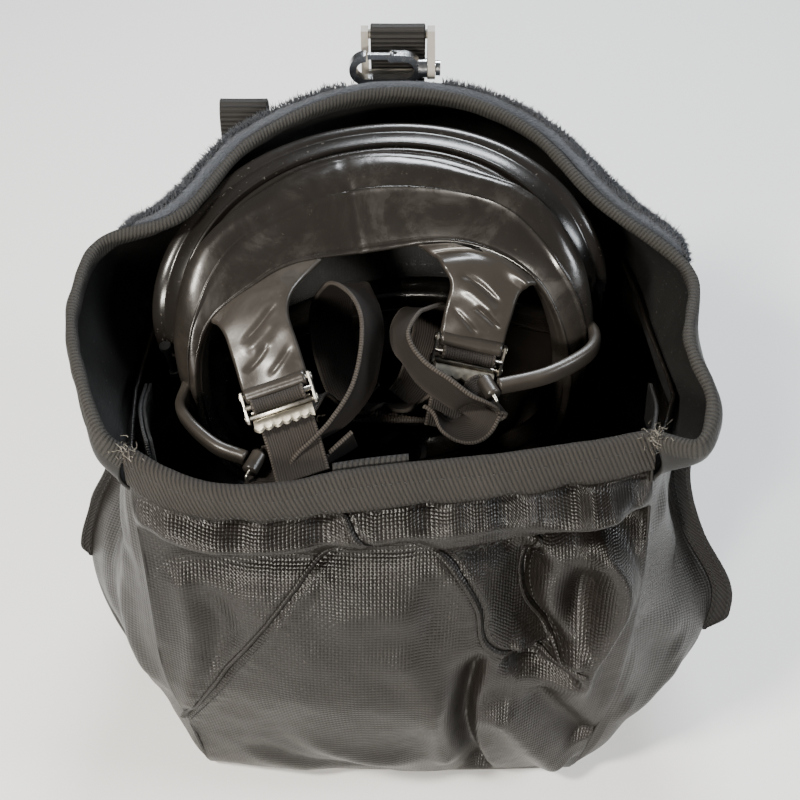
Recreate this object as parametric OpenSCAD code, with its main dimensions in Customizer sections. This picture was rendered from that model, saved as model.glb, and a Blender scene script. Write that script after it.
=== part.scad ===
// Full face respirator in its soft carrying pouch.
// Frame: +X is the pouch's right side seen from the front, +Y is towards its back, +Z is up.
// The origin is the centre of the flat base panel, on its underside. Millimetres.

/* [Pouch] */
// Height of the front edge of the mouth
mouth_h = 214; // [208:1:220]
// Half of the width between the two front corners of the mouth
mouth_half_w = 108; // [106:1:110]
// Widest half width, at the side hems
wing_half_w = 158; // [150:1:160]
// Height of the widest point of the side panels
wing_h = 85; // [80:1:90]
// Thickness of the coated cloth
cloth = 2; // [1.6:0.2:2.4]
// Height of the binding tape on the front edge
binding_h = 17; // [15:1:18]
// Thickness of the fleece band behind the hood
fleece = 9; // [7:0.5:11]

/* [Facepiece] */
// Half width of the lens frame
frame_half_w = 91; // [89:1:92]
// How far the lens frame wraps round, front to back
frame_wrap = 58; // [56:1:60]
// Height of the lens frame above its split line
frame_rise = 50; // [48:1:52]
// Depth of the lens frame below its split line
frame_drop = 62; // [60:1:63]
// Thickness of the moulded rubber
rubber = 3; // [2.5:0.5:3]
// Thickness of the lens
lens_t = 2.5; // [2:0.5:3]
// Radius of the regulator port's bore
port_r = 20; // [20:1:20]
// Sideways turn of the facepiece in the pouch, degrees
mask_yaw = 5; // [4:1:6]
// Forward lean of the facepiece in the pouch, degrees
mask_pitch = 8; // [7:1:9]
// Sideways lean of the facepiece in the pouch, degrees
mask_roll = -6; // [-7:1:-5]

/* [Harness] */
// Width of the elastic straps
strap_w = 24; // [22:1:25]
// Thickness of the elastic straps
strap_t = 1.6; // [1.4:0.1:1.8]
// Radius of the buckles' hinge bars
bar_r = 1.2; // [1.2:0.1:1.2]
// Length of the buckles' hinge bars
bar_l = 31; // [31:1:31]

/* [Hidden] */
$fn = 48;

gap = 0.3;                    // clearance between pieces that only touch
base_t = 3;                   // thickness of the stiffened base
base_half_w = 90;
base_front = 97;              // base's front edge, forward of the origin
base_back = 84;
seam_top_h = 181;             // top of the arched seam in the front
mask_at = [-8, 8, 205];      // middle of the lens frame's split line
frame_radius = (frame_half_w * frame_half_w + frame_wrap * frame_wrap) / (2 * frame_wrap);
frame_depth = 15;             // lens frame, front to back
frame_t = 6;                  // lens frame, thickness
LEFT = -1;
RIGHT = 1;

function mix(a, b, t) = a + (b - a) * t;
function unit(v) = v / norm(v);
function curve(p0, p1, p2, p3, t) = 0.5 * (2 * p1 + (p2 - p0) * t
    + (2 * p0 - 5 * p1 + 4 * p2 - p3) * t * t + (3 * p1 - p0 - 3 * p2 + p3) * t * t * t);
// A smooth line through points p, with n steps between each two
function smooth(p, n) = [
    for (i = [0 : len(p) - 2], k = [0 : n - 1])
        curve(p[max(i - 1, 0)], p[i], p[i + 1], p[min(i + 2, len(p) - 1)], k / n),
    p[len(p) - 1]];

// A closed skin between two grids of points. A closed skin joins its last row to its first.
module skin(outer, inner, closed = false) {
    n = len(outer);
    m = len(outer[0]);
    last = closed ? n - 1 : n - 2;
    function o(i, j) = (i % n) * m + j;
    function k(i, j) = n * m + (i % n) * m + j;
    points = [for (r = outer) each r, for (r = inner) each r];
    faces = [
        for (i = [0 : last], j = [0 : m - 2]) each [
            [o(i, j), o(i, j + 1), o(i + 1, j + 1)], [o(i, j), o(i + 1, j + 1), o(i + 1, j)],
            [k(i, j), k(i + 1, j + 1), k(i, j + 1)], [k(i, j), k(i + 1, j), k(i + 1, j + 1)]],
        for (i = [0 : last]) each [
            [o(i, 0), o(i + 1, 0), k(i + 1, 0)], [o(i, 0), k(i + 1, 0), k(i, 0)],
            [o(i, m - 1), k(i, m - 1), k(i + 1, m - 1)],
            [o(i, m - 1), k(i + 1, m - 1), o(i + 1, m - 1)]],
        if (!closed) for (j = [0 : m - 2]) each [
            [o(0, j), k(0, j), k(0, j + 1)], [o(0, j), k(0, j + 1), o(0, j + 1)],
            [o(n - 1, j), o(n - 1, j + 1), k(n - 1, j + 1)],
            [o(n - 1, j), k(n - 1, j + 1), k(n - 1, j)]]
    ];
    size = [for (f = faces) points[f[0]] * cross(points[f[1]], points[f[2]])]
        * [for (f = faces) 1];
    polyhedron(points, size < 0 ? faces : [for (f = faces) [f[0], f[2], f[1]]], convexity = 10);
}

// A flat strap through points p, with its width along sides, and its face up where they cross
module ribbon(p, sides, w, t) {
    n = len(p);
    along = [for (i = [0 : n - 1]) unit(p[min(i + 1, n - 1)] - p[max(i - 1, 0)])];
    side = [for (i = [0 : n - 1]) unit(sides[i] - (sides[i] * along[i]) * along[i])];
    up = [for (i = [0 : n - 1]) cross(along[i], side[i])];
    function row(i, h) = [for (s = [-1, 1]) p[i] + side[i] * s * w / 2 + up[i] * h];
    skin([for (i = [0 : n - 1]) row(i, t / 2)], [for (i = [0 : n - 1]) row(i, -t / 2)]);
}

// ---------------------------------------------------------------- pouch

// Sizes of the pouch's outline at height z
function front_half_w(z) = lookup(z, [[0, 90], [60, 102], [130, mouth_half_w], [230, mouth_half_w]]);
function front_y(z) = -lookup(z, [[0, 99], [40, 108], [100, 104], [170, 93], [mouth_h, 84]]);
function wing_w(z) = lookup(z, [[0, 93], [40, 124], [wing_h, wing_half_w], [150, 134], [200, 118]]);
function wing_y(z) = lookup(z, [[0, -95], [40, -84], [wing_h, -50], [150, -36], [200, -36]]);
function back_half_w(z) = lookup(z, [[0, 84], [wing_h, 98], [150, 104], [200, 100]]);
function back_y(z) = lookup(z, [[0, 85], [60, 104], [110, 112], [160, 110], [200, 98]]);
// How far the front edge of the mouth sags, and how far it bows forward, at u from -1 to 1
function mouth_sag(u) = lookup(u, [[-1, 0], [-0.86, 5], [-0.68, 8.5], [-0.45, 8.5], [-0.2, 6.5], [0, 5],
    [0.4, 3], [0.75, 1], [1, 0]]);
function mouth_bow(u) = lookup(u, [[-1, 0], [-0.86, 6], [-0.68, 9.5], [-0.45, 9], [-0.2, 5.5], [0, 3.5],
    [0.4, 1.5], [0.75, 0], [1, 0]]);
function front_point(u, z, d = 0) =
    [u * (front_half_w(z) - 0.5), front_y(z) - 10 * (1 - u * u) * sin(min(180, z)) + d
     - mouth_bow(u) * lookup(z, [[120, 0], [160, 0.4], [197, 1]]), z];
function back_point(u, z, d = 0) =
    [u * (back_half_w(z) - 0.5), back_y(z) + 9 * (1 - u * u) - d, z];
// Height of the arched seam across the front at u, from -1 to 1
function seam_z(u) = u < -0.1
    ? mix(38, seam_top_h, pow(cos(mix(0, 90, (-0.1 - u) / 0.9)), 0.8))
    : mix(88, seam_top_h, pow(cos(mix(0, 90, (u + 0.1) / 1.1)), 0.7));

module front_part(low, high) {
    us = [for (i = [0 : 14]) -1 + i / 7];
    function column(u, d) = [for (k = [0 : 6]) front_point(u, mix(low(u), high(u), k / 6), d)];
    skin([for (u = us) column(u, 0)], [for (u = us) column(u, cloth)]);
}

module base_panel() {
    color("#2a2724") linear_extrude(base_t) offset(r = 14) offset(delta = -14)
        polygon([[-base_half_w, -base_front], [base_half_w, -base_front],
                 [84, base_back], [-84, base_back]]);
}

module front_lower_panel() {
    color("#3d3833") front_part(function(u) base_t + gap, function(u) seam_z(u));
}

module front_yoke() {
    color("#38332f") front_part(function(u) seam_z(u) + gap, function(u) mouth_h - binding_h - mouth_sag(u));
}

module mouth_binding() {
    us = [for (i = [0 : 14]) -1 + i / 7];
    function column(u, d) = [for (z = [mouth_h - binding_h + gap, mouth_h - 8, mouth_h])
        front_point(u, z - mouth_sag(u), d)];
    color("#4a4742") skin([for (u = us) column(u, -1.2)], [for (u = us) column(u, cloth + 1.2)]);
}

// One side panel: from the front corner out to the hem, then in to the back corner
function side_point(side, v, z) =
    let (front = [front_half_w(z) + 2.6, front_y(z) + 1], wing = [wing_w(z), wing_y(z)],
         back = [back_half_w(z) + 1, back_y(z) - 4],
         p = v < 0.5 ? mix(front, wing, v * 2) : mix(wing, back, v * 2 - 1))
    [side * p[0], p[1], z];

module side_panel(side) {
    vs = [0, 0.25, 0.5, 0.75, 1];
    zs = [base_t + gap, 40, wing_h, 120, 150, 175, 196];
    function rows(d) = [for (v = side > 0 ? vs : [1, 0.75, 0.5, 0.25, 0])
        [for (z = zs) side_point(side, v, z) - [side * d, 0, 0]]];
    color("#38332f") skin(rows(0), rows(cloth));
}
module side_panel_left() { side_panel(LEFT); }
module side_panel_right() { side_panel(RIGHT); }

module back_panel() {
    us = [for (i = [0 : 10]) 1 - i / 5];
    zs = [base_t + gap, 40, 80, 110, 140, 170, 196];
    color("#2e2b29") skin([for (u = us) [for (z = zs) back_point(u, z)]],
                          [for (u = us) [for (z = zs) back_point(u, z, cloth)]]);
}

// Stitched hem that stands out along the widest edge of a side panel
module wing_hem(side) {
    zs = [62, wing_h, 110, 140, 160];
    function row(z, out, back) = [side * (wing_w(z) + out), wing_y(z) + back, z];
    grid_a = [for (z = zs) [row(z, gap, -1.5), row(z, 11, -1.5)]];
    grid_b = [for (z = zs) [row(z, gap, 1.5), row(z, 11, 1.5)]];
    color("#45403b") if (side > 0) skin(grid_b, grid_a); else skin(grid_a, grid_b);
}
module wing_hem_left() { wing_hem(LEFT); }
module wing_hem_right() { wing_hem(RIGHT); }

// The hood's wavy rim, from the left front corner round the back to the right front corner
rim = smooth([
    [-111, -80, 216], [-124, -76, 225], [-138, -40, 235], [-140, -12, 240], [-131, 14, 246],
    [-100, 30, 256], [-68, 62, 267], [-24, 83, 276], [24, 83, 276], [60, 64, 270],
    [88, 34, 258], [124, 0, 246], [122, -36, 238], [130, -62, 228], [121, -82, 220],
    [110, -78, 216]], 3);
// Foot of the hood, just above the side and back panels, under rim point i
foot_plan = smooth([
    [-109, -79], [-112, -66], [-117, -40], [-116, -12], [-112, 30],
    [-104, 74], [-72, 97], [-26, 106], [26, 106], [72, 97],
    [104, 74], [112, 30], [116, -12], [117, -40], [112, -66],
    [109, -79]], 3);
function inward(i) = unit([-foot_plan[i][0], 10 - foot_plan[i][1], 0]);
function hood_row(i, d) =
    let (foot = [foot_plan[i][0], foot_plan[i][1], 196 + gap], in = inward(i) * d)
    [for (k = [0 : 4]) let (t = k / 4)
        mix(foot, rim[i], t) + in - inward(i) * 9 * sin(180 * t) * (norm(rim[i] - foot) > 35 ? 1 : 0.3)];

module hood() {
    n = len(rim) - 1;
    color("#1b1a1a") skin([for (i = [n : -1 : 0]) hood_row(i, 0)],
                          [for (i = [n : -1 : 0]) hood_row(i, cloth)]);
}

module hood_binding() {
    n = len(rim) - 1;
    function row(i, d) = [rim[i] + inward(i) * d + [0, 0, gap], rim[i] + inward(i) * d + [0, 0, 6]];
    color("#55524d") skin([for (i = [n : -1 : 0]) row(i, -1)],
                          [for (i = [n : -1 : 0]) row(i, cloth + 1)]);
}

module fleece_band() {
    first = 13;
    last = 32;
    function at(r, k) = k < 4 ? r[k] : mix(r[3], r[4], 0.80);
    function row(i, d) = [for (k = [1 : 4]) at(hood_row(i, -0.7 - d * (k == 1 ? 0.5 : 1)), k)];
    color("#3a3f47") skin([for (i = [last : -1 : first]) row(i, fleece)],
                          [for (i = [last : -1 : first]) row(i, 0)]);
}

// Hook tape on the inside of the side panel's front top corner
module hook_strip(side) {
    p = [[side * 103.5, -74, 199], [side * 107.5, -62, 197], [side * 111, -46, 193], [side * 111.5, -30, 189]];
    q = side > 0 ? p : [p[3], p[2], p[1], p[0]];
    function row(a, d) = [a + [-side * d, 0, -10], a + [-side * d, 0, 10]];
    color("#141414") skin([for (a = q) row(a, -1.5)], [for (a = q) row(a, 1.5)]);
}
module hook_strip_left() { hook_strip(LEFT); }
module hook_strip_right() { hook_strip(RIGHT); }

// Folded webbing tab sewn inside the front edge
module id_tab() {
    color("#111111") translate([-28, -83, mouth_h - 13]) cube([32, 3, 7]);
}

// A band of webbing whose middle follows points p, given as [height, y], with its width along X
module band(p, w, t) {
    n = len(p) - 1;
    out = [for (i = [0 : n]) let (d = unit(p[min(i + 1, n)] - p[max(i - 1, 0)])) [-d[1], d[0]] * t / 2];
    rotate([0, 90, 0]) linear_extrude(w, center = true) mirror([1, 0])
        polygon([for (i = [0 : n]) p[i] + out[i], for (i = [n : -1 : 0]) p[i] - out[i]]);
}

// Grab loop, sewn to the back at its two ends
module grab_loop() {
    color("#151515") translate([-78, 0, 0])
        band([[150, 117.2], [172, 113.8], [197, 106.2], [206, 112], [216, 117], [228, 119.4],
              [236, 119.8], [242, 122], [245, 126], [242, 130], [234, 132.2], [218, 129],
              [205, 119], [196, 108.6], [172, 116], [152, 119.4]], 24, 1.6);
}

clip_x = -1;
clip_y = 119;
clip_bar_z = 286;             // top bar of the clip's frame, which the webbing is folded over
clip_bar_r = 2.2;

// Hanger webbing: sewn down the back, folded over the clip's top bar and sewn to itself below it
module hanger_webbing() {
    color("#1d1d1f") translate([clip_x, 0, 0]) {
        band([[140, 121.8], [170, 117.4], [196, 110], [216, 114.6], [236, 117], [252, 118.6],
              [268, 120.8], [clip_bar_z, clip_y + 3.4]], 26, 1.6);
        band([[clip_bar_z, clip_y - 3.4], [277, 116.6], [268, 119.2], [256, 119]], 26, 1.6);
        translate([0, clip_y, clip_bar_z]) rotate([0, 90, 0]) difference() {
            cylinder(r = 4.2, h = 26, center = true);
            cylinder(r = 2.6, h = 27, center = true);
            translate([0, -3, -14]) cube([6, 6, 28]);
        }
    }
}

hook_y = -12.2;               // hook's axis, from the bar
hook_z = clip_bar_z - 11;
// Plastic frame of the clip: two sides, a bar at the top and one below, and an ear for the hook
module clip_frame() {
    color("#8d8a82") translate([clip_x, clip_y, 0]) {
        translate([-15, 0, clip_bar_z]) rotate([0, 90, 0]) cylinder(r = clip_bar_r, h = 30);
        translate([-17.5, -3.1, clip_bar_z - 22]) cube([3.5, 5.6, 25]);
        translate([-16, -3.1, clip_bar_z - 22]) cube([32, 1.9, 4]);
        difference() {
            hull() {
                translate([14, -3.1, clip_bar_z - 22]) cube([3.5, 5.6, 25]);
                translate([14, hook_y, hook_z]) rotate([0, 90, 0]) cylinder(r = 5.2, h = 3.5);
            }
            translate([13, hook_y, hook_z]) rotate([0, 90, 0]) cylinder(r = 2.3, h = 6);
        }
    }
}

gate_at = [6.3, 16.8];        // gate's hinge, from where the hook leaves the ear
module hook_loop(r) { hull() for (z = [11, 29]) translate([0, z]) circle(r = r); }
module at_hook() { translate([clip_x + 14, clip_y + hook_y, hook_z]) rotate([0, -90, 0]) children(); }

// Swivelling snap hook, lying across the webbing: a post through the ear, a collar on each side
module clip_hook() {
    color("#b9bcbf") at_hook() {
        translate([0, 0, -6]) cylinder(r = 2, h = 9.5);
        translate([0, 0, -6]) cylinder(r = 3.6, h = 2.2);
        translate([0, 0, gap]) cylinder(r = 4.5, h = 4);
        translate([0, 2.5, 0]) rotate([90, 0, 0]) linear_extrude(5) difference() {
            hook_loop(8);
            hook_loop(4.6);
            translate([3, 14.5]) square([9, 14.5]);
        }
        for (y = [-2.5, 1.3]) translate([gate_at[0], y + 1.2, 0]) rotate([90, 0, 0]) linear_extrude(1.2) {
            translate([0, gate_at[1]]) circle(r = 2);
            translate([-1.7, 13.5]) square([3.4, gate_at[1] - 13.5]);
        }
        translate([gate_at[0], 2, gate_at[1]]) rotate([90, 0, 0]) cylinder(r = 0.6, h = 4, $fn = 24);
    }
}

// Spring gate across the hook's gap
module clip_gate() {
    color("#c9cccf") at_hook() translate([gate_at[0], 0, gate_at[1]]) difference() {
        union() {
            rotate([90, 0, 0]) cylinder(r = 1.6, h = 2, center = true, $fn = 24);
            translate([-1.3, -1, 0]) cube([2.6, 2, 11.4]);
        }
        rotate([90, 0, 0]) cylinder(r = 0.8, h = 6, center = true, $fn = 24);
    }
}

// ---------------------------------------------------------------- facepiece
// Its own frame: +X to the wearer's right, +Y forwards out of the lens, +Z up.

module in_pouch() { translate(mask_at) rotate([mask_pitch, mask_roll, mask_yaw]) children(); }

half_u = frame_radius * asin(frame_half_w / frame_radius) * PI / 180;
lean = 14;                    // how far the frame's lower edge stands forward
function power(v, e) = sign(v) * pow(abs(v), e);
// The frame's line, unrolled flat, at angle a round the lens
function flat_line(a) = [half_u * power(cos(a), 0.75),
    (sin(a) > 0 ? frame_rise : frame_drop) * power(sin(a), 0.75)];
function flat_out(a) = let (d = flat_line(a + 2) - flat_line(a - 2)) unit([d[1], -d[0]]);
function rolled(q, r) = let (t = q[0] / frame_radius * 180 / PI)
    [(frame_radius + r) * sin(t),
     frame_wrap - frame_radius + (frame_radius + r) * cos(t) + lean * max(0, -q[1] / frame_drop),
     q[1]];
// Point of the frame at angle a, s outwards from its line and r forwards
function frame_point(a, s, r) = rolled(flat_line(a) + s * flat_out(a), r);

module frame_half(from, to) {
    ang = [for (i = [0 : 22]) mix(from, to, i / 22)];
    function outer(a) = [frame_point(a, -1, 11.5), frame_point(a, 6, 11.5),
                         frame_point(a, 6, -4), frame_point(a, -1, -4)];
    function inner(a) = [frame_point(a, -1, 9), frame_point(a, 3.5, 9),
                         frame_point(a, 3.5, -1.5), frame_point(a, -1, -1.5)];
    skin([for (a = ang) outer(a)], [for (a = ang) inner(a)]);
}
module lens_frame_upper() { in_pouch() color("#20201f") frame_half(1.5, 178.5); }
module lens_frame_lower() { in_pouch() color("#20201f") frame_half(-178.5, -1.5); }

// One screw each side, across the split between the two halves of the frame
module frame_screws() {
    in_pouch() color("#9a9a98") for (s = [-1, 1])
        translate(frame_point(s > 0 ? 0 : 180, 9.2, 4)) {
            translate([0, 0, -8]) cylinder(r = 1.5, h = 16, $fn = 24);
            translate([0, 0, 8]) cylinder(r = 2.6, h = 2.2, $fn = 24);
            translate([0, 0, -10.5]) cylinder(r = 2.8, h = 2.5, $fn = 6);
        }
}

module lens() {
    us = [for (i = [0 : 14]) -0.985 + 1.97 * i / 14];
    function edge(u) = pow(1 - pow(abs(u), 2.67), 0.375);
    function row(u, r) = [for (k = [0 : 8]) let (v = -1 + k / 4,
        z = edge(u) * v * ((v > 0 ? frame_rise : frame_drop) + 2))
        rolled([u * (half_u + 2), z],
               r + 9 * pow(max(0, (1 - u * u) * (1 - pow(v * edge(u), 2))), 1.5))];
    in_pouch() color("#1a1a1c") skin([for (u = us) row(u, 7.2)], [for (u = us) row(u, 7.2 - lens_t)]);
}

// Right half of three lines round the rubber, by angle: outer bulge, inner bulge, face opening
around = [90, 60, 30, 0, -30, -60, -90];
shell_front = [[0, 42, 62], [64, 20, 54], [88, -4, 34], [93, -16, -3], [88, 4, -54], [64, 40, -96],
               [0, 60, -128]];
shell_back = [[0, 24, 58], [54, 12, 52], [80, -16, 33], [88, -30, -3], [82, -18, -58],
              [54, 22, -124], [0, 46, -156]];
opening = [[0, 12, 53], [40, 4, 47], [68, -18, 29], [79, -36, -4], [74, -34, -60], [44, -4, -128],
           [0, 10, -158]];
function by_angle(line, a) =
    let (b = a > 90 ? 180 - a : (a < -90 ? -180 - a : a), s = abs(a) > 90 ? -1 : 1,
         f = (90 - b) / 30, i = min(5, floor(f)),
         q = curve(i > 0 ? line[i - 1] : [-line[1][0], line[1][1], line[1][2]], line[i], line[i + 1],
                   i < 5 ? line[i + 2] : [-line[5][0], line[5][1], line[5][2]], f - i))
    [s * q[0], q[1], q[2]];
function inside(p, d) = p + d * unit([-p[0], 0, -45 - p[2]]);

diaphragm_y = -18;            // middles of the two front stations, down from the housing's middle
port_y = 22;
housing_at = [0, 66, -106];
housing_tilt = -105;
module on_housing(y = 0) { translate(housing_at) rotate([housing_tilt, 0, 0]) translate([0, y, 0]) children(); }
exhale_at = [0, 28, -157];
module on_exhale() { translate(exhale_at) rotate([180, 0, 0]) children(); }

tab_w = 27;
tab_left = [[-56, -2, 42], [-54, -20, 38], [-50, -38, 31], [-47.5, -51, 25]];
tab_right = [[54, 0, 42], [49, -14, 36], [42, -26, 26], [37, -34, 15]];
side_left = [[-88, -20, -2], [-92, -38, 4], [-87, -52, 8], [-76, -66, 9], [-64, -73, 8]];
side_right = [[88, -18, -2], [92, -30, 3], [86, -43, 8], [67, -55, 13], [45.5, -59, 15]];
bar_way = [1, 0.12, 0.15];    // direction of the upper buckles' hinge bars
// Axes of a piece that starts at the end of path p, with its X near way
function end_axes(p, way) = let (n = len(p), y = unit(p[n - 1] - p[n - 2]),
    x = unit(way - (way * y) * y)) [x, y, cross(x, y)];
module at_axes(o, m) {
    multmatrix([[m[0][0], m[1][0], m[2][0], o[0]], [m[0][1], m[1][1], m[2][1], o[1]],
                [m[0][2], m[1][2], m[2][2], o[2]], [0, 0, 0, 1]]) children();
}
module on_buckle(path) { at_axes(path[len(path) - 1], end_axes(path, bar_way)) children(); }
// Axes of the wire rings, which hang from the ends of the side tabs
function ring_axes(way) = [unit(way), [0, 0, -1], cross(unit(way), [0, 0, -1])];
ring_left = ring_axes([5, 8.66, 0]);
ring_right = ring_axes([-3, 9.54, 0]);
ring_left_at = [-60.5, -75.5, 7.5];
ring_right_at = [41.2, -59.2, 15.5];

module strap_tab(path) {
    p = smooth(path, 2);
    ribbon(p, [for (q = p) [1, 0.12, 0.15]], tab_w, 2.6);
}
module side_tab(path) {
    p = smooth(path, 3);
    ribbon(p, [for (q = p) [0, 0, 1]], 9, 5);
}

wire_r = 0.9;
module pin_x(r, h) { translate([-h / 2, 0, 0]) rotate([0, 90, 0]) cylinder(r = r, h = h); }
module tab_loop(w, r) { pin_x(r, w); }

module face_blank() {
    ang = [for (i = [0 : 47]) -180 + 7.5 * i];
    function out(a) = [frame_point(a, 3.1, -1), frame_point(a, -1.3, -1), frame_point(a, -1.3, -4.3),
        frame_point(a, 5, -4.3), by_angle(shell_front, a), by_angle(shell_back, a),
        by_angle(opening, a), inside(by_angle(opening, a), 16) + [0, 9, 0]];
    function in(a) = [frame_point(a, 3.2, 4.2), frame_point(a, -1.3 - rubber, 4.2),
        frame_point(a, -1.3 - rubber, -4.3 - rubber), frame_point(a, 2, -4.3 - rubber),
        inside(by_angle(shell_front, a), 2.5) - [0, 3 * max(0, -sin(a)), 0],
        inside(by_angle(shell_back, a), rubber) - [0, 2 * max(0, -sin(a)), 0],
        inside(by_angle(opening, a), rubber) + [0, rubber, 0],
        inside(by_angle(opening, a), 16) + [0, 9 + rubber, 0]];
    in_pouch() color("#26241f") difference() {
        union() {
            skin([for (a = ang) out(a)], [for (a = ang) in(a)], closed = true);
            strap_tab(tab_left);
            strap_tab(tab_right);
            side_tab(side_left);
            side_tab(side_right);
            for (p = [tab_left, tab_right]) on_buckle(p) tab_loop(tab_w, 3.2);
            at_axes(ring_left_at, ring_left) tab_loop(9, 3.4);
            at_axes(ring_right_at, ring_right) tab_loop(9, 3.4);
        }
        for (p = [tab_left, tab_right]) on_buckle(p) pin_x(bar_r + gap, 60);
        at_axes(ring_left_at, ring_left) pin_x(wire_r + gap, 20);
        at_axes(ring_right_at, ring_right) pin_x(wire_r + gap, 20);
        on_housing() translate([0, 0, 2 - gap]) linear_extrude(30) housing_outline(gap);
        on_exhale() translate([0, 0, 2 - gap]) cylinder(r = 17, h = 20);
        on_housing(port_y) translate([0, 0, -30]) cylinder(r = 22.8, h = 60);
        on_housing(diaphragm_y) translate([0, 0, -30]) cylinder(r = 15.3, h = 60);
        on_exhale() translate([0, 0, -20]) cylinder(r = 12.3, h = 40);
    }
}

// Outline of the housing's plate, round its two stations
module housing_outline(more = 0) {
    hull() {
        translate([0, port_y]) circle(r = 26.5 + more);
        translate([0, diaphragm_y]) circle(r = 17.5 + more);
    }
}

module component_housing() {
    in_pouch() color("#1c1c1d") on_housing() difference() {
        union() {
            translate([0, 0, 2]) linear_extrude(3) housing_outline();
            translate([0, port_y, -12]) cylinder(r = 22.5, h = 15);
            translate([0, port_y, 4]) cylinder(r = 24.5, h = 13);
            for (a = [0, 120, 240]) translate([0, port_y, 0]) rotate(a)
                translate([24, -4, 11]) cube([3, 8, 3]);
            translate([0, diaphragm_y, -4]) cylinder(r = 15, h = 12);
        }
        translate([0, port_y, -2.9]) cylinder(r = port_r, h = 28);
        translate([0, port_y, -6.5]) cylinder(r = port_r + 1, h = 3.7);
        translate([0, port_y, -13]) cylinder(r = 17, h = 4);
        for (a = [0 : 60 : 300]) translate([0, port_y, -14]) rotate(a)
            translate([8, 0, 0]) cylinder(r = 2.8, h = 12, $fn = 24);
        translate([0, port_y, -14]) cylinder(r = 1.5, h = 12, $fn = 24);
        translate([0, diaphragm_y, -2.5]) cylinder(r = 12.4, h = 20);
        translate([0, diaphragm_y, -5]) cylinder(r = 10.5, h = 20);
    }
}

module port_gasket() {
    in_pouch() color("#3b3b3b") on_housing(port_y) translate([0, 0, -6.5]) difference() {
        cylinder(r = port_r + 0.6, h = 1.8);
        translate([0, 0, -1]) cylinder(r = 15.5, h = 4);
    }
}

// Valve flap with a stem that slides in the middle of its seat
module valve(r, t, stem_r, stem_h) {
    cylinder(r = r, h = t);
    translate([0, 0, -stem_h]) cylinder(r = stem_r, h = stem_h + t / 2, $fn = 24);
}
module inlet_valve_disc() {
    in_pouch() color("#7d3a2c") on_housing(port_y) translate([0, 0, -9 - gap]) mirror([0, 0, 1])
        valve(13, 1.2, 1.2, 2.6);
}

module speaking_diaphragm() {
    in_pouch() color("#b5a88a") on_housing(diaphragm_y) translate([0, 0, -2.5]) cylinder(r = 12, h = 0.8);
}

module grille(r, h, slots) {
    difference() {
        cylinder(r = r, h = h);
        for (k = [-slots : slots]) let (x = k * 4, l = 2 * sqrt(pow(r - 2.4, 2) - x * x) - 2)
            translate([x - 1, -l / 2, -1]) cube([2, l, h + 2]);
    }
}

module diaphragm_cover() {
    in_pouch() color("#232324") on_housing(diaphragm_y) {
        translate([0, 0, 5.5]) grille(12.1, 2, 2);
        translate([0, 0, -1.7 + gap]) difference() {
            cylinder(r = 12.1, h = 7);
            translate([0, 0, -1]) cylinder(r = 10.8, h = 9);
        }
    }
}

module exhalation_seat() {
    in_pouch() color("#1c1c1d") on_exhale() difference() {
        union() {
            difference() {
                union() {
                    translate([0, 0, -6]) cylinder(r = 12, h = 9);
                    translate([0, 0, 2]) cylinder(r = 16.5, h = 2);
                }
                translate([0, 0, -7]) cylinder(r = 9, h = 12);
            }
            translate([0, 0, 1.8]) cylinder(r = 2.8, h = 1.8);
            for (a = [0, 120, 240]) rotate(a) translate([1, -1, 2.1]) cube([9.2, 2, 1.2]);
        }
        translate([0, 0, 1]) cylinder(r = 1.5, h = 4, $fn = 24);
    }
}

module exhalation_disc() {
    in_pouch() color("#7d3a2c") on_exhale() translate([0, 0, 4 + gap]) valve(11, 1, 1.2, 3.6);
}

module exhalation_cover() {
    in_pouch() color("#232324") on_exhale() {
        translate([0, 0, 8.2]) grille(16.5, 1.8, 3);
        translate([0, 0, 4]) difference() {
            cylinder(r = 16.5, h = 5);
            translate([0, 0, -1]) cylinder(r = 13, h = 7);
        }
    }
}

// Nose cup: from round the two stations back to the wearer's nose and chin
function cup_front(a, r) = let (y = 2.2 - (35 + r) * sin(a), z = -13.5)
    housing_at + [(22 + r) * cos(a), -0.2588 * y + 0.9659 * z, -0.9659 * y - 0.2588 * z];
function cup_rim(a, r) = [(32 + r) * cos(a), 22 - 12 * pow(cos(a), 2) - 6 * sin(a), -85 + (40 + r) * sin(a)];
function cup_row(a, r) = let (f = cup_front(a, r), e = cup_rim(a, r), m = (f + e) / 2)
    [f, m + [4 * cos(a), 0, 5 * sin(a)], e, e + [-7 * cos(a), 2, -7 * sin(a)]];
module on_nose(side) {
    translate([side * 25, 34, -78]) rotate([0, side * 74, 0]) children();
}
module nose_cup() {
    ang = [for (i = [0 : 23]) i * 15];
    in_pouch() color("#302f2d") difference() {
        union() {
            skin([for (a = ang) cup_row(a, 1.6)], [for (a = ang) let (c = cup_row(a, 0))
                [c[0], c[1], c[2] + [0, 1.8, 0], c[3] + [0, 1.8, 0]]], closed = true);
            for (s = [-1, 1]) on_nose(s) translate([0, 0, -1.5]) cylinder(r = 9, h = 6);
        }
        for (s = [-1, 1]) on_nose(s) {
            translate([0, 0, -20]) cylinder(r = 8.4, h = 18.5);
            translate([0, 0, -20]) cylinder(r = 5.5, h = 40);
        }
    }
    in_pouch() color("#302f2d") for (s = [-1, 1]) on_nose(s) difference() {
        translate([-1.8, -5.8, -1.5]) cube([3.6, 11.6, 2]);
        translate([0, 0, -3]) cylinder(r = 1, h = 6, $fn = 24);
    }
}
module nose_valve(side) {
    in_pouch() color("#7d3a2c") on_nose(side) translate([0, 0, -1.5 - gap]) mirror([0, 0, 1])
        valve(7, 0.8, 0.7, 3);
}
module nose_valve_left() { nose_valve(LEFT); }
module nose_valve_right() { nose_valve(RIGHT); }

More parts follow.
